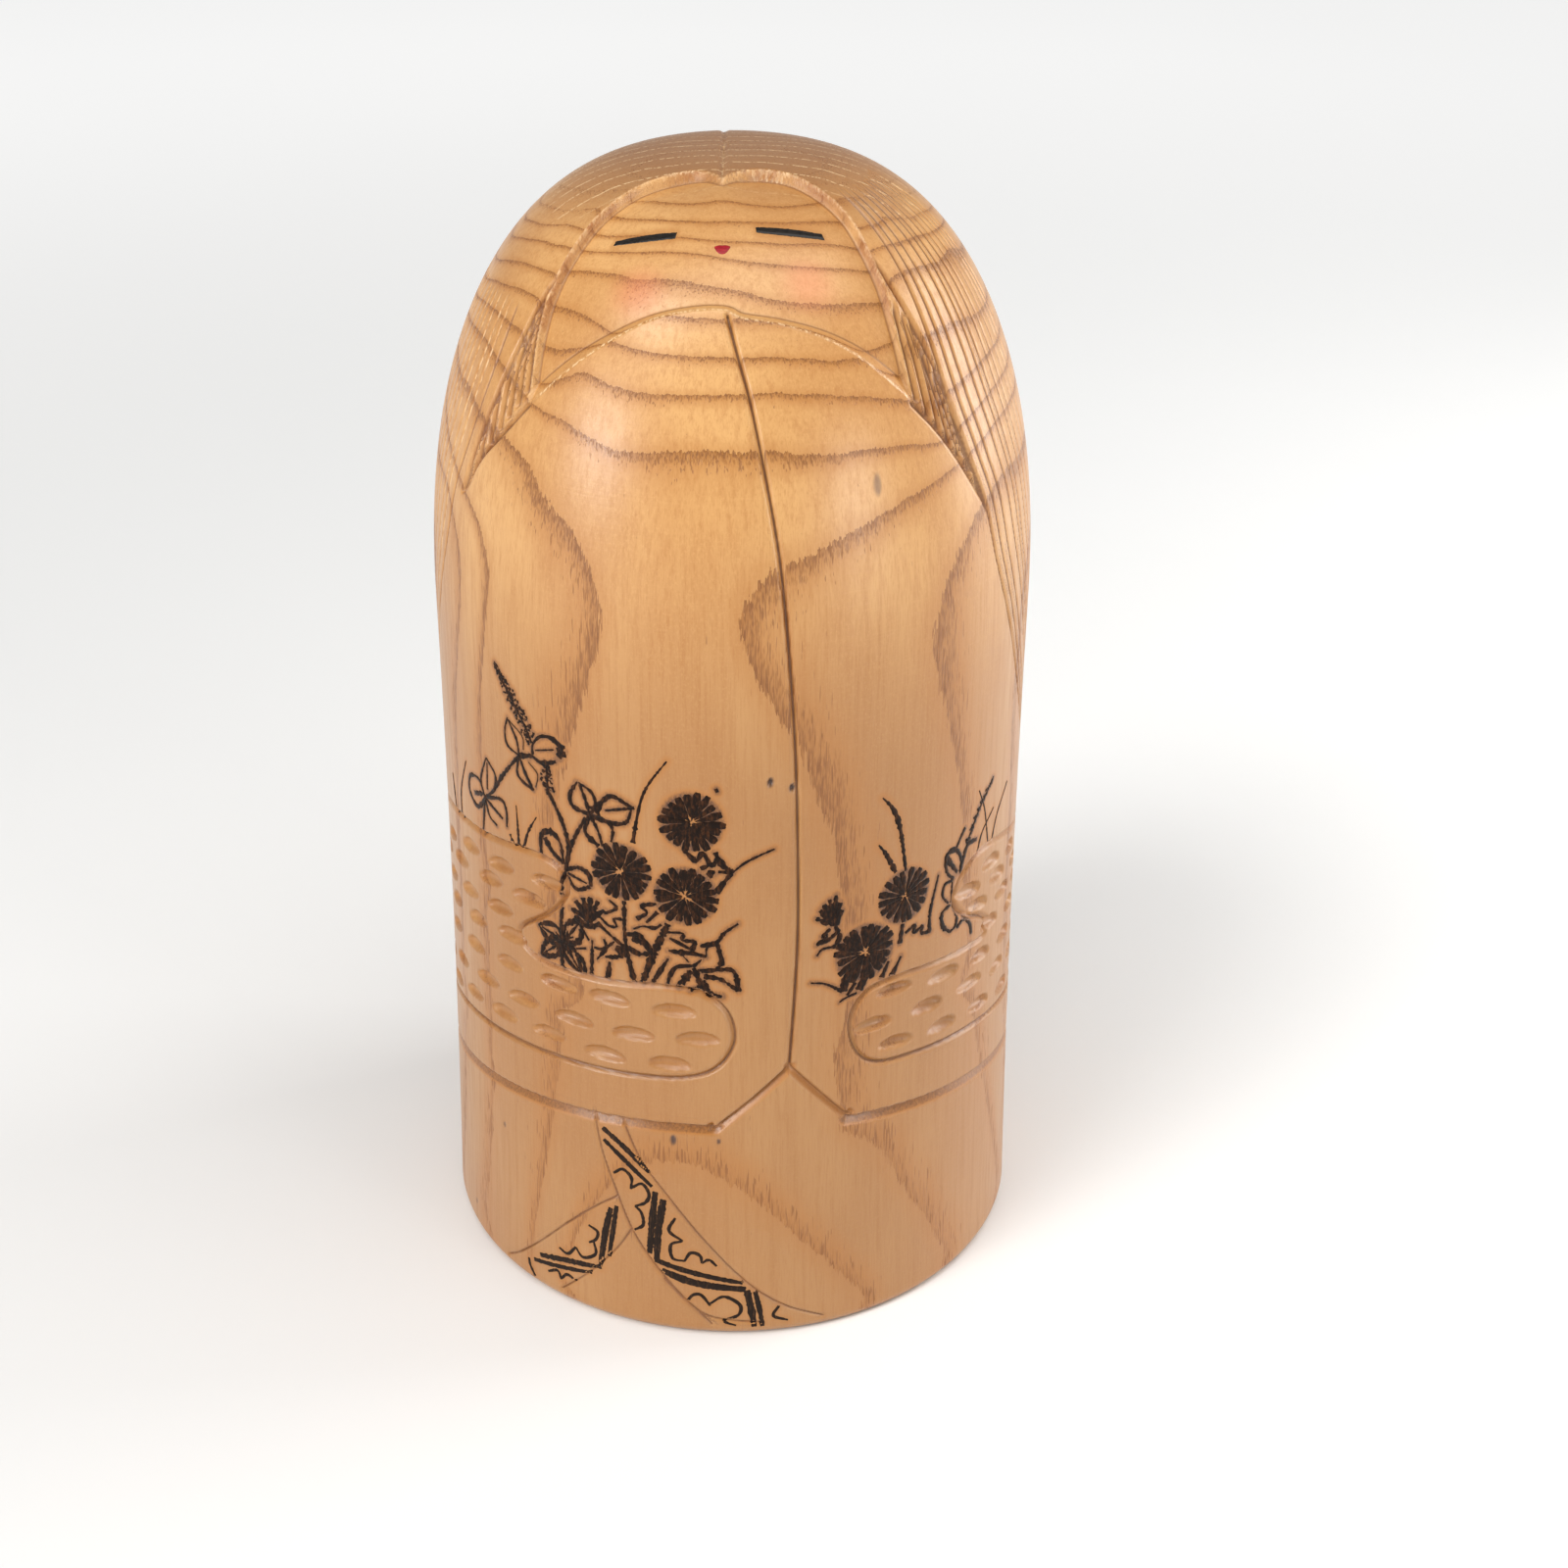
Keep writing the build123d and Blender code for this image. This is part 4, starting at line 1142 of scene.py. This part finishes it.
def draw_left_upper():
    """Sprays above the left band: a flowering spike, broad leaves in threes and thin stems."""
    d = Drawing("leaf_spray_left_upper", "burned_wood", char)
    spike(d, ((-54.8, 155), (-50.6, 149.8), (-46.4, 144.4), (-44.6, 141)), 190, 2.1, 0.5)
    spike(d, ((-40.6, 137.2), (-40.6, 134.5), (-40.6, 131)), 60, 1.9, 0.6)
    hub = (-48.4, 136.8)
    draw(d, (  # three leaves below the spike
        ((0.3, 0.55, 0.3), (hub, (-52, 138), (-52.6, 141.2), (-51.6, 144.4))),
        ((0.4, 0.55, 0.3), (hub, (-49, 140.2), (-51.4, 144))),
        ((0.2, 0.2), ((-51.2, 144), (-47.2, 141.6), (-47, 138.6))),
        ((0.7, 0.5, 0.9, 1.4), ((-44.4, 138.4), (-44.2, 140.8), (-42, 143.2), (-39, 143.6), (-36.2, 142))),
        ((1.9, 1.6), ((-36.4, 141.6), (-37.4, 140))),
        ((1.3, 1.0), (hub, (-44.6, 138))),
        ((0.7, 0.9, 1.1), ((-44.6, 138), (-41.8, 137.2), (-38.2, 138.6))),
        ((0.3, 0.3), ((-43.6, 139.6), (-38.6, 141.2))),
        ((0.5, 0.6, 0.8), (hub, (-49.2, 132.6), (-47.4, 131), (-44.4, 130.2))),
        ((0.4, 0.75, 0.8), (hub, (-46.8, 133.4), (-44.6, 130.2))),
        ((0.2, 0.2), ((-45.6, 136.2), (-43.2, 134.2), (-43.8, 131))),
        ((0.7, 0.8, 0.7), (hub, (-54.2, 130), (-57.8, 125), (-61.4, 122))),
    ))
    hub = (-61.4, 122)
    draw(d, (  # four leaves at the far left
        ((0.5, 0.6, 0.3), (hub, (-62.8, 125.6), (-60.2, 131.8))),
        ((0.4, 0.6, 0.6), ((-60, 131.8), (-56.8, 129), (-57.6, 125))),
        ((0.3, 0.5), ((-59.8, 130.8), (-60.2, 124.4))),
        ((0.6, 0.8, 1.1), (hub, (-63.6, 125.2), (-67.8, 124.4), (-68.6, 120.6), (-65, 118.2),
         (-61.2, 121.4))),
        ((1.1, 0.8), ((-66, 121), (-61.8, 122.6))),
        ((0.8, 0.8, 0.5), (hub, (-55.2, 124), (-53.4, 122), (-53.4, 118.2))),
        ((0.8, 0.5), (hub, (-54.8, 119.6))),
        ((0.8, 0.4), (hub, (-59.8, 118.2), (-57, 117))),
        ((0.7, 0.6), (hub, (-62.8, 112.6))),
    ))
    hub = (-30.2, 128.6)
    draw(d, (  # three leaves beside the upper flower, and the tall stem
        ((0.7, 1.0, 0.5), (hub, (-34.2, 129.6), (-34.8, 132.2), (-33, 135.4))),
        ((0.8, 0.6), (hub, (-31.2, 132), (-32.4, 135))),
        ((0.4, 0.75, 0.6), ((-32.6, 135.4), (-29.6, 133.8), (-28.8, 131), hub)),
        ((2.0, 1.1, 0.8, 0.7), ((-29, 129.8), (-27, 132.6), (-24.8, 134), (-20.8, 132.2))),
        ((0.5, 0.7), ((-26.6, 130.4), (-20.2, 132.2))),
        ((0.8, 1.1, 0.9, 0.5), (hub, (-25.2, 127.8), (-22, 128.6), (-20.8, 131.6))),
        ((0.8, 1.0, 1.4), (hub, (-31.4, 124.4), (-28.4, 121.8))),
        ((0.8, 0.6), (hub, (-28.4, 125.4), (-27.4, 122))),
        ((0.5, 0.8, 0.5), (hub, (-26.2, 127.8), (-25, 126.2), (-25.4, 123.4))),
        ((0.8, 0.9), ((-31.2, 127.6), (-33.8, 122.8), (-35.6, 118.4))),
        ((0.8, 0.9, 1.0, 0.9), ((-40.8, 131.6), (-38.8, 128.4), (-36.8, 124.4), (-35.6, 119.6),
         (-36.4, 114.4))),
    ))
    draw(d, (  # leaves at the foot of the tall stem
        ((0.8, 1.1, 1.3, 0.8, 0.7), ((-43, 115.4), (-42.8, 120.2), (-40.2, 121.8), (-37.8, 120),
         (-37, 115.2))),
        ((1.2, 1.1, 0.8), ((-41.8, 119.8), (-40, 117.4), (-37.2, 115.4))),
        ((0.8, 1.0, 0.9), ((-36.8, 113.8), (-33.4, 115.4), (-30.8, 114.4), (-30.4, 111.8))),
        ((0.6, 0.9, 0.6), ((-36.8, 113.4), (-34, 110.2), (-30.6, 111.6))),
        ((0.7, 0.4), ((-36, 113.4), (-31.4, 112.2))),
        ((0.9, 0.8), ((-36.4, 114.4), (-37.8, 110.4), (-37.8, 107.6))),
    ))
    d.finish()


def draw_left_lower():
    """Foliage between the left flowers and the band below them."""
    d = Drawing("leaf_spray_left_lower", "burned_wood", char)
    draw(d, (  # stems, spikes and short dark leaves
        ((0.9, 0.7, 0.9, 1.3), ((-22.8, 110), (-22.8, 102.4), (-22.2, 97.2), (-20.8, 91))),
        ((1.1, 1.7, 1.0), ((-13.4, 106), (-16.4, 98.8), (-19, 91.2))),
        ((0.4, 1.1, 0.6), ((-13.4, 97.8), (-14.8, 95.2), (-17, 91.2))),
        ((0.9, 0.6, 0.9), ((-29, 103.4), (-26.4, 101.4), (-23.2, 99.2))),
        ((0.4, 0.9, 0.4), ((-30, 97.2), (-27.8, 97.4), (-25.2, 99.8))),
        ((0.5, 0.9, 0.4), ((-27.6, 99.8), (-27.2, 97.8), (-29.4, 94.4))),
        ((1.5, 1.8), ((-24.8, 98.4), (-22.4, 97.4))),
        ((0.5, 1.2, 1.1), ((-27.4, 95.6), (-25.4, 96), (-23.4, 96.8))),
        ((0.8, 1.1, 0.8), ((-22.4, 102.2), (-19.6, 102.6), (-18.8, 101.6))),
        ((1.3, 1.7, 1.3), ((-21, 101.6), (-18.6, 101), (-17.2, 99.2))),
        ((1.1, 0.9, 1.3), ((-22, 99), (-19.6, 98), (-16.4, 98.8))),
        ((0.4, 1.2, 1.0), ((-26.4, 94.6), (-26.6, 92.4), (-27, 90.4))),
        ((0.3, 1.0, 0.8), ((-30.4, 98.8), (-30.6, 94), (-30.8, 90.2))),
    ))
    draw(d, (  # zigzag leaflets
        ((0.5, 0.7, 0.5, 0.6), ((-28.4, 105), (-26.4, 103.4), (-24.6, 103.6), (-25.2, 105.2),
         (-23.4, 105.6))),
        ((0.5, 0.8, 0.4), ((-27.4, 106), (-24.6, 108), (-26.2, 109.6))),
        ((0.6, 0.9, 0.6, 1.0), ((-15.8, 110.6), (-19, 109.6), (-17.8, 108.2), (-20, 106.4))),
        ((0.9, 0.4), ((-15.6, 108.6), (-18, 105.8))),
        ((0.4, 0.4, 0.8, 0.6), ((-20.8, 103.8), (-18.8, 104.8), (-16.2, 104.8), (-14.8, 105.8))),
        ((0.5, 0.5, 0.8, 1.0, 0.8), ((-13.2, 104.2), (-10.2, 104.2), (-10.4, 102.6),
         (-7.8, 102.4), (-8.4, 100.4))),
        ((0.5, 0.8, 0.5), ((-13, 102.8), (-10.6, 101.6), (-8, 100.2))),
        ((0.4, 1.4, 0.8, 0.6), ((-13.2, 99.8), (-10.8, 99.6), (-8.2, 99.6), (-5.4, 99))),
        ((0.3, 0.5), ((-5.4, 99), (-5.2, 101.2), (-3.6, 101.8))),
        ((0.3, 0.3), ((-10.2, 98.8), (-9, 97.4))),
    ))
    draw(d, (  # branch and broad leaves at the right end
        ((0.3, 0.6, 0.9, 0.8), ((1.2, 107), (-1.6, 104.8), (-3.2, 102.6), (-6.6, 101.4))),
        ((0.8, 1.0, 1.1, 0.9, 0.8), ((-3.2, 102.6), (-2.6, 100), (-2.2, 97.8), (-3.4, 96), (-6.4, 95.4))),
        ((0.3, 0.9), ((-6.4, 98.2), (-8.2, 96.4))),
        ((0.6, 0.9, 0.9, 0.6), ((-8.4, 96.6), (-11.6, 96), (-13, 93.8), (-13.6, 91.2))),
        ((1.0, 1.6, 1.3), ((-8.6, 95.4), (-9.8, 93.4), (-11.2, 91.2))),
        ((1.1, 1.3, 1.1, 0.8), ((-8, 96), (-7, 93.4), (-6.8, 91.6), (-8.8, 90.6))),
        ((0.6, 0.8, 1.1, 0.9, 0.9), ((-7.2, 95.6), (-3.6, 95.8), (-0.4, 96), (0.8, 94.4), (1.3, 90.8))),
        ((1.2, 0.9, 0.6), ((-5.8, 94.2), (-2.4, 93.6), (0.8, 91.2))),
        ((1.3, 1.9, 0.6), ((-6.2, 93), (-4.8, 90), (-2.2, 89.4))),
    ))
    draw(d, (  # leaves at the left end
        ((0.5, 0.5), ((-33.4, 101.8), (-31.2, 98.6))),
        ((0.5, 1.1, 0.9), ((-34.2, 94.6), (-32.6, 92.6), (-32.4, 90.4))),
        ((0.4, 0.5), ((-34.4, 95.6), (-32, 96.4))),
        ((0.8, 0.9, 0.8), ((-37.8, 104.7), (-38.4, 97), (-38.1, 89.6))),
    ))
    d.leaf((-37.6, 96.4), (-44.2, 98), 2.1, 2.4, 1.0, 0.7)
    d.leaf((-37.4, 96.6), (-33.2, 102.6), 1.9, 2.4, 1.0, 0.7)
    d.leaf((-38, 96), (-43.8, 91), 1.8, 1.9, 1.0, 0.7)
    d.leaf((-37.4, 96), (-33.6, 90.2), 1.6, 1.6, 0.9, 0.7)
    tips = ((-35.4, 105), (-34.2, 107.2), (-32.4, 108.4), (-30.6, 109), (-28.8, 108.6), (-27.4, 106.8))
    fan(d, (-31, 103), (-31, 103.6), tips, 0.7, 1.2, 1.0)
    d.stroke(((-34.6, 103.4), (-31.4, 102), (-28.4, 103.2)), 1.1, 1.3, 1.0)
    draw(d, (  # twigs between the two right-hand flowers
        ((0.7, 1.2, 0.8, 1.1, 0.8), ((-10, 124), (-7.4, 121.6), (-6, 123.4), (-4.2, 120.6),
         (-2.8, 122.2), (-1.3, 120))),
        ((0.8, 1.0, 0.7), ((-3.4, 123.6), (-2.4, 121), (0, 119))),
        ((0.6, 0.8), ((-5.6, 122.8), (-4.8, 120.8), (-6.4, 119.8))),
        ((0.6, 1.2), ((-2.8, 119.2), (0, 119))),
        ((0.4, 0.5, 0.3), ((0, 119), (2.5, 121.2), (5.4, 122.8), (8.6, 124.2))),
        ((0.6, 0.9, 1.5), ((0, 119), (-1.5, 117), (-3.2, 114.4))),
        ((1.6, 1.3), ((-5, 119), (-4, 118.5))),
        ((0.8, 0.6), ((-3.3, 138.1), (-3, 137.4))),
    ))
    d.finish()


def draw_right():
    """The right spray: bud, leaves and a flowering spike."""
    d = Drawing("leaf_spray_right", "burned_wood", char)
    tips = (
        (17.6, 106.8), (18.4, 108.6), (19.2, 109.8), (20.4, 110.8), (21.8, 111.6), (22.8, 109.6),
        (23.2, 107.8),
    )
    fan(d, (22.2, 104.4), (21.6, 104.4), tips, 0.7, 1.1, 0.9)
    draw(d, (  # leaflets under the bud and left of the lower flower
        ((0.6, 0.8, 0.7), ((20.6, 103.8), (18.8, 102.2), (20, 102.4), (17.8, 100.4))),
        ((0.6, 0.8, 0.7), ((17.8, 100.6), (19.8, 101), (22.4, 102.8))),
        ((0.8, 1.0, 0.9), ((21.8, 104.2), (22.8, 101.6), (22, 99.8))),
        ((0.3, 0.6, 0.8), ((17.8, 97.8), (19, 99.2), (22, 99.4))),
        ((0.3, 0.4, 0.9), ((16.6, 91.4), (19.8, 90.6), (23.6, 88))),
        ((0.3, 0.5, 0.5), ((23, 85.4), (24.4, 86.2), (27, 86.8))),
        ((1.2, 1.9, 1.4), ((24, 88), (24.2, 90), (25, 91.4))),
        ((0.7, 0.9), ((24.8, 86.8), (26.6, 89.4))),
        ((1.6, 1.9), ((27.6, 87.6), (29, 90.4))),
        ((1.2, 0.5), ((35.4, 88.4), (37.8, 92.6))),
        ((1.1, 0.5), ((33, 89), (34.6, 92.4))),
    ))
    draw(d, (  # beside the upper flower
        ((0.4, 0.8, 1.0), ((47.8, 108.8), (46.6, 104.6), (45.6, 100.2), (45.6, 95.6))),
        ((0.7, 0.9, 0.7, 0.8), ((38.8, 98), (41.4, 99), (41, 97.2), (43.6, 98), (43.2, 96.4), (46, 95.8))),
        ((1.0, 1.2), ((38, 100.4), (37.4, 96))),
        ((0.7, 0.7, 1.2, 0.8, 0.7), ((52.8, 105.8), (50.6, 108.2), (50, 111.2), (50.8, 113),
         (53.4, 112.6), (55.2, 109.8), (55, 106.6))),
        ((1.3, 0.8), ((50.4, 111.6), (54, 107))),
        ((0.5, 0.7, 0.6), ((52.4, 105.6), (50, 105.6), (49.4, 103), (51.4, 100.4))),
        ((0.4, 0.5), ((52.4, 105.2), (52.2, 100.4))),
        ((0.7, 1.0, 0.8), ((52, 99.8), (49.4, 98.8), (49.8, 95.4), (52.2, 93))),
        ((0.6, 0.8, 0.7), ((52.8, 99.4), (54.4, 95.8), (54, 93.6), (52.2, 93))),
        ((0.8, 0.9, 0.8), ((54.6, 93), (57.2, 94), (59.6, 91.6), (60.4, 88.8))),
        ((0.7, 1.2, 0.8), ((55.2, 106.2), (56, 109.4), (57.6, 112.2), (61, 112))),
        ((0.5, 0.8, 0.7), ((53.4, 113.2), (54.8, 115.2), (56.2, 116.8))),
    ))
    spike(d, ((67.4, 124), (61.6, 119), (57, 112.6)), 46, 0.85, 0.72)
    d.finish()


def draw_grass():
    """Thin blades of grass beside each spray."""
    tufts = (
        ("grass_left", (
            ((0.3, 0.5, 0.6, 0.9), ((-13.2, 143.6), (-16.8, 138.4), (-18.6, 134.4), (-19.8, 129),
             (-20.6, 124.2))),
            ((0.2, 0.6, 1.1), ((-50, 124.6), (-49.8, 120), (-49.6, 114.6))),
            ((0.2, 0.6, 0.9), ((-44, 124), (-46.6, 119.6), (-48.2, 115))),
            ((0.6, 0.9), ((-52.4, 116.8), (-51.2, 114.4))),
            ((0.3, 0.5, 0.6), ((-70, 126.8), (-73.8, 118.2), (-74.2, 111))),
            ((0.3, 0.6, 0.6), ((-80.4, 119), (-79, 114), (-78, 110.4))),
        )),
        ("grass_right", (
            ((0.3, 1.1, 0.9, 0.8, 0.7), ((32, 132), (34.2, 129.4), (35.8, 126.2), (37, 121.6),
             (38.4, 113.2))),
            ((0.3, 1.1, 0.9), ((31.4, 121.2), (33.2, 118.6), (35.8, 113.6))),
            ((0.6, 0.4, 0.3), ((61.4, 108.4), (63.4, 112.8), (68.4, 116.4))),
            ((0.3, 0.5), ((61.2, 123.6), (64, 117.8), (66.2, 109))),
            ((0.3, 0.4, 0.6), ((76.4, 119), (70.8, 114), (68, 108))),
        )),
    )
    for name, blades in tufts:
        d = Drawing(name, "burned_wood", char, halo=0.4)
        draw(d, blades)
        d.finish()


def draw_under_robe():
    """Black stripes and cloud scallops on the under robe."""
    d = Drawing("under_robe_pattern", "black_ink", ink, rough=0.1, halo=0.22)
    stripes = (
        (1.25, ((-28.8, 51.8), (-23.6, 48), (-18.2, 42.8))),
        (1.1, ((-28.6, 48.8), (-23.6, 44.6), (-17.6, 39.2))),
        (1.45, ((-16.8, 37.8), (-17.6, 29.4), (-18.2, 21))),
        (1.6, ((-15, 36), (-16.2, 27.4), (-16.6, 18.8))),
        (1.3, ((-16.8, 19.4), (-10.4, 17.6), (2.2, 14.8))),
        (1.75, ((-15.4, 16.8), (-8, 14.4), (2.8, 13))),
        (1.5, ((3.2, 12.6), (4.2, 7), (4.8, 2.6))),
        (1.1, ((5, 12.2), (6, 7), (6.6, 2.6))),
        (1.1, ((-25.8, 31.8), (-26.8, 24.6), (-27.8, 17.4))),
        (1.45, ((-27.2, 30.8), (-28.6, 24), (-30, 14))),
        (1.3, ((-46.8, 9.4), (-38.8, 11.8), (-29.8, 13.6))),
        (1.1, ((-48.8, 7), (-38.8, 9.6), (-32.2, 11.2))),
        (0.8, ((-50.6, 6.4), (-50.2, 4.6), (-48.6, 2.4))),
    )
    for width, points in stripes:
        d.stroke(points, width * 0.85, width, width * 0.95, width * 0.7)
    clouds = (
        ((-26.4, 40.6), (-24.2, 42.2), (-22.2, 40.4), (-22.4, 37.4)),
        ((-22.4, 37.6), (-19.8, 39.4), (-18.2, 37), (-19, 34.6), (-21.4, 33)),
        ((-21.4, 33), (-20, 31.6), (-19.6, 28.4), (-21.6, 26.6)),
        ((-12.4, 31.6), (-13.8, 28), (-10.8, 25.6)),
        ((-10.8, 25.6), (-13.4, 24.2), (-13, 20.6), (-10.4, 20.2)),
        ((-10.4, 20.2), (-9, 22.6), (-7, 22), (-6.6, 20)),
        ((-6.6, 20), (-5, 21), (-3.4, 19.4)),
        ((-32.8, 24.2), (-30.6, 23.2), (-31, 21), (-32.8, 19.4)),
        ((-31.6, 20.2), (-31.2, 16.8), (-34.4, 14.6), (-36.4, 16.6)),
        ((-36.4, 16.6), (-38.6, 13.8), (-41, 14.4)),
        ((-9.8, 9.2), (-8.6, 11), (-6.8, 11.2), (-4.8, 8.4)),
        ((-4.8, 9), (-1.8, 11), (1.6, 8.8), (1.4, 6), (-1.8, 4.2), (0.8, 3)),
        ((10.2, 7.8), (9, 5.2), (12.2, 3.6)),
        ((-44.4, 6), (-41.6, 7.6), (-40.6, 5.6)),
        ((-40.6, 5.8), (-38.8, 7.8), (-36.4, 7)),
    )
    for points in clouds:
        d.stroke(points, 0.5, 0.72, 0.76, 0.45)
    d.finish()


MOUTH = ((-3.5, 9.75), (-2.7, 9.3), (-1.95, 9.1), (-1.2, 9.3), (-0.4, 9.75))
MOUTH_WIDTHS = (0.15, 0.8, 1.15, 1.2, 1.15, 0.8, 0.15)
CHEEK_RADIUS = 7.6
MARKS = (  # u, z, half width, half height, strength and depth of each
    (31, 198, 1.0, 2.4, 0.6, 0.0), (7.7, 139.3, 0.7, 1.2, 1.0, 0.8), (12.1, 137.8, 0.7, 1.0, 1.0, 0.8),
    (-12.7, 52.3, 0.75, 1.5, 1.0, 0.3), (-2.9, 52.7, 0.5, 0.8, 0.9, 0.2), (-58.5, 39.3, 0.5, 0.9, 0.7, 0.1),
    (-74.4, 7.3, 0.6, 0.9, 0.7, 0.1),
)


def draw_face():
    """Closed eyes and a small red mouth, with pink on the cheeks."""
    black = lacquer_material("black_lacquer", (0.010, 0.008, 0.007), (0.022, 0.017, 0.013), 0.16)
    red = lacquer_material("red_lacquer", (0.25, 0.007, 0.014), (0.38, 0.014, 0.022), 0.28)
    eyes = (
        ("left_eye_ink", ((-23.2, 13.4), (-11.1, 13.3))),
        ("right_eye_ink", ((4.7, 14.2), (17.9, 13.8))),
    )
    for name, points in eyes:
        d = Drawing(name, "black_lacquer", black, rough=0.04, halo=0.25)
        d.stroke(from_face(curve(points, 2.0)), 0.7, 0.95, 0.98, 0.85)
        d.finish()
    d = Drawing("lip_lacquer", "red_lacquer", red, rough=0.0, halo=0)
    d.stroke(from_face(MOUTH), *MOUTH_WIDTHS, step=0.2)
    d.finish()
    for x, v in ((-18.4, 1.2), (14.8, 2.4)):
        pink = 0.32 * (1 - smoothstep(0.5, CHEEK_RADIUS, np.hypot(X - x, FACE_V - v)))
        np.maximum(blush, pink * (FACE_W > 0), out=blush)


def draw_marks():
    """A small grey knot on the chest, two wormholes and pin knots."""
    for u, z, wide, tall, strength, sunk in MARKS:
        away = np.hypot((U - u) / wide, (Z - z) / tall)
        np.maximum(mark, strength * (1 - smoothstep(0.55, 1.15, away)), out=mark)
        depth[:] += sunk * (1 - smoothstep(0.3, 1.0, away))


draw_flowers()
draw_left_upper()
draw_left_lower()
draw_right()
draw_grass()
draw_under_robe()
draw_face()
draw_marks()
build_block(wood_material())


# ---- Stage ----
FLOOR_HALF = 6.0  # metres


def build_floor():
    """A wide pale floor that glows: painted light that grows brighter away from the doll and fades out beside
    it.
    """
    corners = [(x * FLOOR_HALF, y * FLOOR_HALF, 0) for x, y in ((-1, -1), (1, -1), (1, 1), (-1, 1))]
    mesh = bpy.data.meshes.new("floor")
    mesh.from_pydata(corners, [], [(0, 1, 2, 3)])
    floor = bpy.data.objects.new("floor", mesh)
    bpy.context.scene.collection.objects.link(floor)
    s = Shader("self_lit_floor")
    tint = s.mix(s.noise((400, 400, 400), 1.0, 0.5, 2.0), (0.86, 0.86, 0.855), (0.88, 0.88, 0.875))
    s.cover(tint, 0.7, 0.5)
    away = s.node("VectorMath", {0: s.here()}, operation="LENGTH").outputs["Value"]
    # painted light: the floor glows, not at all beside the doll and more further away
    s.feed(s.surface["Emission Color"], (1.0, 1.0, 1.0, 1.0))
    s.feed(s.surface["Emission Strength"], s.ramp(away, 0.10, 1.5, 0.0, 0.36))
    mesh.materials.append(s.material)


def add_light(name, place, target, size, power, color):
    """A soft box that faces the target."""
    data = bpy.data.lights.new(name, "AREA")
    data.shape = "RECTANGLE"
    data.size, data.size_y = size
    data.energy = power
    data.color = color
    light = bpy.data.objects.new(name, data)
    light.location = place
    way = np.array(target) - np.array(place)
    light.rotation_euler = (math.atan2(np.hypot(way[0], way[1]), -way[2]), 0, math.atan2(-way[0], way[1]))
    bpy.context.scene.collection.objects.link(light)


WARM_WHITE = (1.0, 0.985, 0.96)
SOFT_WHITE = (1.0, 0.99, 0.97)
SKY = (0.98, 0.99, 1.0)
SOFT_BOXES = (  # name, place, height of the target, size, power and colour; metres and watts
    ("window", (0.12, -0.25, 0.85), 0.20, (0.8, 0.40), 2.7, WARM_WHITE),
    ("left_box", (-0.95, -0.75, 0.42), 0.19, (0.40, 0.40), 6.4, SOFT_WHITE),
    ("right_box", (0.82, -0.80, 0.24), 0.19, (0.34, 0.34), 2.7, SOFT_WHITE),
    ("side", (0.78, 0.20, 0.34), 0.16, (0.35, 0.6), 4.2, SOFT_WHITE),
)
CAMERA_PLACE = (0.0, -0.4753, 0.3583)
CAMERA_DOWN = 28.06  # degrees below level
LENS = 54.0
SENSOR = 36.0
SHIFT = 0.033


def add_sky():
    """A pale sky all round and a soft sun from the front left."""
    world = bpy.data.worlds.new("studio")
    bpy.context.scene.world = world
    world.use_nodes = True
    background = world.node_tree.nodes["Background"]
    background.inputs["Color"].default_value = (*SKY, 1.0)
    background.inputs["Strength"].default_value = 0.36
    sun = bpy.data.lights.new("skylight", "SUN")
    sun.energy, sun.angle, sun.color = 1.02, math.radians(22), WARM_WHITE
    skylight = bpy.data.objects.new("skylight", sun)
    skylight.rotation_euler = (math.radians(42), 0, math.radians(-46))
    bpy.context.scene.collection.objects.link(skylight)


def add_camera():
    """The camera of the photo."""
    lens = bpy.data.cameras.new("camera")
    lens.lens, lens.sensor_width, lens.shift_x, lens.clip_start = LENS, SENSOR, SHIFT, 0.01
    camera = bpy.data.objects.new("camera", lens)
    camera.location = CAMERA_PLACE
    camera.rotation_euler = (math.radians(90 - CAMERA_DOWN), 0.0, 0.0)
    bpy.context.scene.collection.objects.link(camera)
    bpy.context.scene.camera = camera
    bpy.context.scene.view_settings.view_transform = "Standard"


build_floor()
add_sky()
for box_name, place, aim, size, power, color in SOFT_BOXES:
    add_light(box_name, place, (0, 0, aim), size, power, color)
add_camera()
